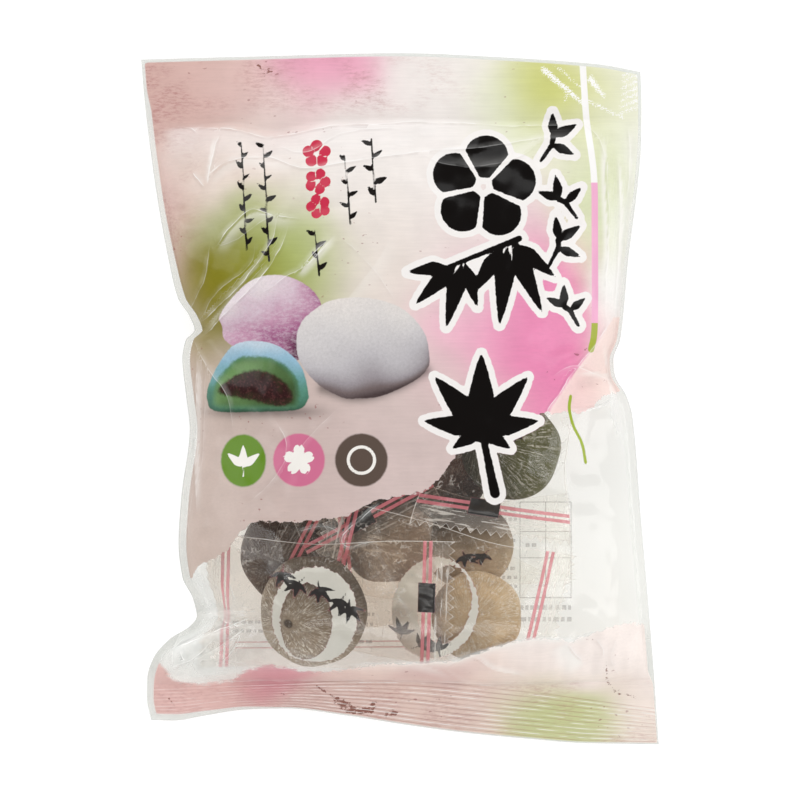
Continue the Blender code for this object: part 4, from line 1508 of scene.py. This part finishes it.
def cake_material(cake):
    """Soft rice dough, dusted with starch, with fine lines that run out from one spot, and painted shade
    toward one side.
    """
    tree = Tree("dough_" + cake.name)
    base = linear(*cake.colour)
    where = tree.where()
    x, y = cake.to_drawing(cake.spot[0] + cake.slide, cake.spot[1] + cake.aside)
    spot = tuple(place(x, y, cake.mid + cake.half * 0.8)[0])
    out = tree.add("VectorMath", {0: where, 1: spot}, operation="SUBTRACT")
    gap = tree.add("VectorMath", {0: out}, "Value", operation="LENGTH")
    way = tree.add("VectorMath", {0: out}, operation="NORMALIZE")
    bent = (tree.noise(4, 3.0) - 0.5) * 4.0
    # Noise that changes fast around the spot, and not with the distance from it, makes the rays.
    spread = tree.add("Mapping", {"Vector": way, "Scale": (38, 38, 0.4)})
    spread = tree.add("VectorMath", {0: spread, 1: bent}, operation="ADD")
    rays = tree.noise(1.0, 4.0, vector=spread)
    patches = tree.noise(6, 4.0)
    light = (*np.clip(base * 1.25 + 0.004, 0, 1), 1.0)
    dark = (*(base * 0.62), 1.0)
    tint = tree.blend(patches.ramp(0.35, 0.65, 0.45, 0.75), dark, light)
    # Painted shade: the dough darkens toward one side.
    way_there = (*toward((0, 0), cake.painted_shade_side[0], 1 / MM / cake.radius), 0)
    toward_side = tree.add("VectorMath", {0: where, 1: way_there}, "Value", operation="DOT_PRODUCT")
    middle = place(cake.x, cake.y, 0)[0] @ np.array(way_there)
    shaded = toward_side.ramp(middle + cake.painted_shade_from, middle + 0.8, 0.0, cake.painted_shade_side[1])
    lines = rays.ramp(0.52, 0.6, 0.0, 0.9 * cake.gills)
    lines = lines * tree.noise(1.6, 2.0).ramp(0.36, 0.56, 0.25, 1.0)
    lines = lines * gap.ramp(1.5 * MM, 4 * MM) * gap.ramp(20 * MM, 32 * MM, 1.0, 0.35)
    tint = tree.blend(lines, tint, (226, 219, 207))
    tint = tree.blend(rays.ramp(0.34, 0.47, 0.7 * cake.gills, 0.0), tint, dark)
    tint = tree.blend(gap.ramp(1.3 * MM, 2.1 * MM, 0.9 * cake.gills, 0.0), tint, (62, 44, 32))
    starch = tree.noise(0.8, 3.0).ramp(0.5, 0.7, 0.0, cake.dust * 2)
    tint = tree.blend(starch, tint, (224, 219, 208))
    # The painted shade, multiplied in.
    tint = tree.blend(shaded, tint, (66, 48, 38), "MULTIPLY")
    height = tree.noise(1.1, 3.0) + rays * (1.5 * cake.gills)
    dough = tree.add("BsdfPrincipled", {
        "Base Color": tint, "Roughness": 0.62, "IOR": 1.45, "Specular IOR Level": 0.2,
        "Normal": tree.bump(height, 0.4, 0.6), "Sheen Weight": 0.04, "Sheen Roughness": 0.6,
    })
    return tree.finish(dough)


def rice_cake(cake, seed):
    """The cake itself: a soft flattened ball with lumps."""
    bm = bmesh.new()
    bmesh.ops.create_icosphere(bm, subdivisions=6, radius=1)
    bm.verts.index_update()
    way = np.array([vert.co[:] for vert in bm.verts])
    faces = np.array([[vert.index for vert in face.verts] for face in bm.faces])
    bm.free()
    flat = np.hypot(way[:, 0], way[:, 1])
    lumps = 1 + 0.022 * waves(way[:, 0] * 18, way[:, 1] * 18, 16, seed) * (1 - way[:, 2] ** 2)
    squared = (flat**2.3 + np.abs(way[:, 2]) ** 2.3) ** (-1 / 2.3)
    local = way * (squared * lumps)[:, None] * [cake.radius, cake.radius * cake.oval, cake.half]
    local[:, 2] += 0.4 * waves(local[:, 0], local[:, 1], 9, seed + 5) * way[:, 2] ** 2
    x, y = cake.to_drawing(local[:, 0] + cake.slide, local[:, 1] + cake.aside)
    z = np.minimum(local[:, 2] + cake.mid, fine_front(x, y) - UNDER_FILM - 0.5)
    made = make_mesh("cake_" + cake.name, place(x, y, z), faces)
    made.data.materials.append(cake_material(cake))
    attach(made, "root")


def wrapper(cake, stack, seed, material):
    """The upper and lower sheet of one wrapper, which lie together along its edges."""
    s, t, rim = wrapper_grid(104, 12, 6 * TEETH)
    x, y, top, low = wrapper_heights(cake, stack, s, t, seed)
    rows, columns = s.shape
    count = rows * columns
    places = np.vstack([place(x, y, top), place(x, y, low)])
    faces = np.vstack([grid_faces(rows, columns)[:, ::-1], grid_faces(rows, columns, count)])
    u, v = (s.ravel() + 50) / MAP_SPAN, (t.ravel() + 35) / MAP_SPAN
    both_sheets = np.vstack([np.column_stack([u, v]), np.column_stack([u, v + 0.45])])
    piece = make_mesh("wrapper_" + cake.name, places, faces, both_sheets)
    both_s, both_t = np.tile(s.ravel(), 2), np.tile(t.ravel(), 2)
    on_lower = np.repeat([0.0, FAR], count)
    ring = brushed_ring(both_s, both_t, cake.ring) if cake.ring else FAR
    beside_block = np.abs(both_t - cake.block_at) - BLOCK_WIDE
    store(
        piece, along=both_s, across=both_t, rim=np.tile(rim.ravel(), 2), ring=ring + on_lower,
        block=np.where(both_s * cake.block > 0, beside_block, FAR),
        striped=np.where(both_s < 0, *map(float, cake.stripes)),
        veil=np.full(both_s.shape, cake.veil), dusty=np.tile(1 - smooth(32, 44, x).ravel(), 2),
        marks=brush_marks(both_s, both_t, cake.marks) + on_lower,
    )
    piece.data.materials.append(material)
    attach(piece, "root")
    stack.lay(x, y, top)


def contents():
    """The wrapped rice cakes, laid from the lowest to the highest."""
    stack = Stack()
    film = wrapper_material()
    for number, cake in enumerate(CAKES):
        seed = 100 + 10 * number
        rice_cake(cake, seed)
        wrapper(cake, stack, seed, film)


# ------------------------------------------------------------------------- floor, light and camera

CAMERA_HEIGHT = 1.5
VIEW_WIDTH = 0.2838  # what the picture's width takes in, at mid height of the bag
MID_HEIGHT = 0.015


def stage():
    """A plain pale floor."""
    bpy.ops.mesh.primitive_plane_add(size=4, location=(0, 0, -0.0006))
    floor = bpy.context.object
    floor.name = "floor"
    tree = Tree("pale_floor")
    paper = tree.add("BsdfDiffuse", {"Color": (0.4, 0.4, 0.4, 1)})
    glow = tree.add("Emission", {"Strength": 0.72})
    floor.data.materials.append(tree.finish(tree.add("AddShader", {0: paper, 1: glow})))


def softbox(name, place_at, size, power, look_at=(0, 0, 0.01)):
    """A rectangular lamp that faces the bag."""
    lamp = bpy.data.lights.new(name, "AREA")
    lamp.shape = "RECTANGLE"
    lamp.size, lamp.size_y = size
    lamp.energy = power
    holder = bpy.data.objects.new(name, lamp)
    holder.location = place_at
    way = Vector(look_at) - Vector(place_at)
    holder.rotation_euler = way.to_track_quat("-Z", "Y").to_euler()
    bpy.context.scene.collection.objects.link(holder)


def light():
    """Four large soft lamps around the bag, and a pale sky."""
    softbox("top_box", (0.0, 1.4, 0.85), (1.8, 0.7), 14.6)
    softbox("left_box", (-1.45, 0.25, 0.8), (0.6, 1.6), 11.8)
    softbox("right_box", (1.45, 0.1, 0.8), (0.6, 1.6), 12.4)
    softbox("low_box", (0.1, -1.4, 0.85), (1.6, 0.6), 12.4)
    world = bpy.data.worlds.new("studio")
    world.use_nodes = True
    background = world.node_tree.nodes["Background"]
    background.inputs["Color"].default_value = (1, 1, 1, 1)
    background.inputs["Strength"].default_value = 0.24
    bpy.context.scene.world = world


def camera():
    """A camera straight above the bag."""
    data = bpy.data.cameras.new("camera")
    data.sensor_width = 36
    data.lens = data.sensor_width * (CAMERA_HEIGHT - MID_HEIGHT) / VIEW_WIDTH
    data.clip_end = 20
    holder = bpy.data.objects.new("camera", data)
    holder.location = (0, -0.0004, CAMERA_HEIGHT)
    scene = bpy.context.scene
    scene.collection.objects.link(holder)
    scene.camera = holder
    scene.view_settings.view_transform = "Standard"
    scene.cycles.transparent_max_bounces = 24
    scene.cycles.max_bounces = 5
    scene.cycles.diffuse_bounces = 2
    scene.cycles.glossy_bounces = 2


def main():
    front_film()
    back_film()
    back_label()
    contents()
    stage()
    light()
    camera()


main()
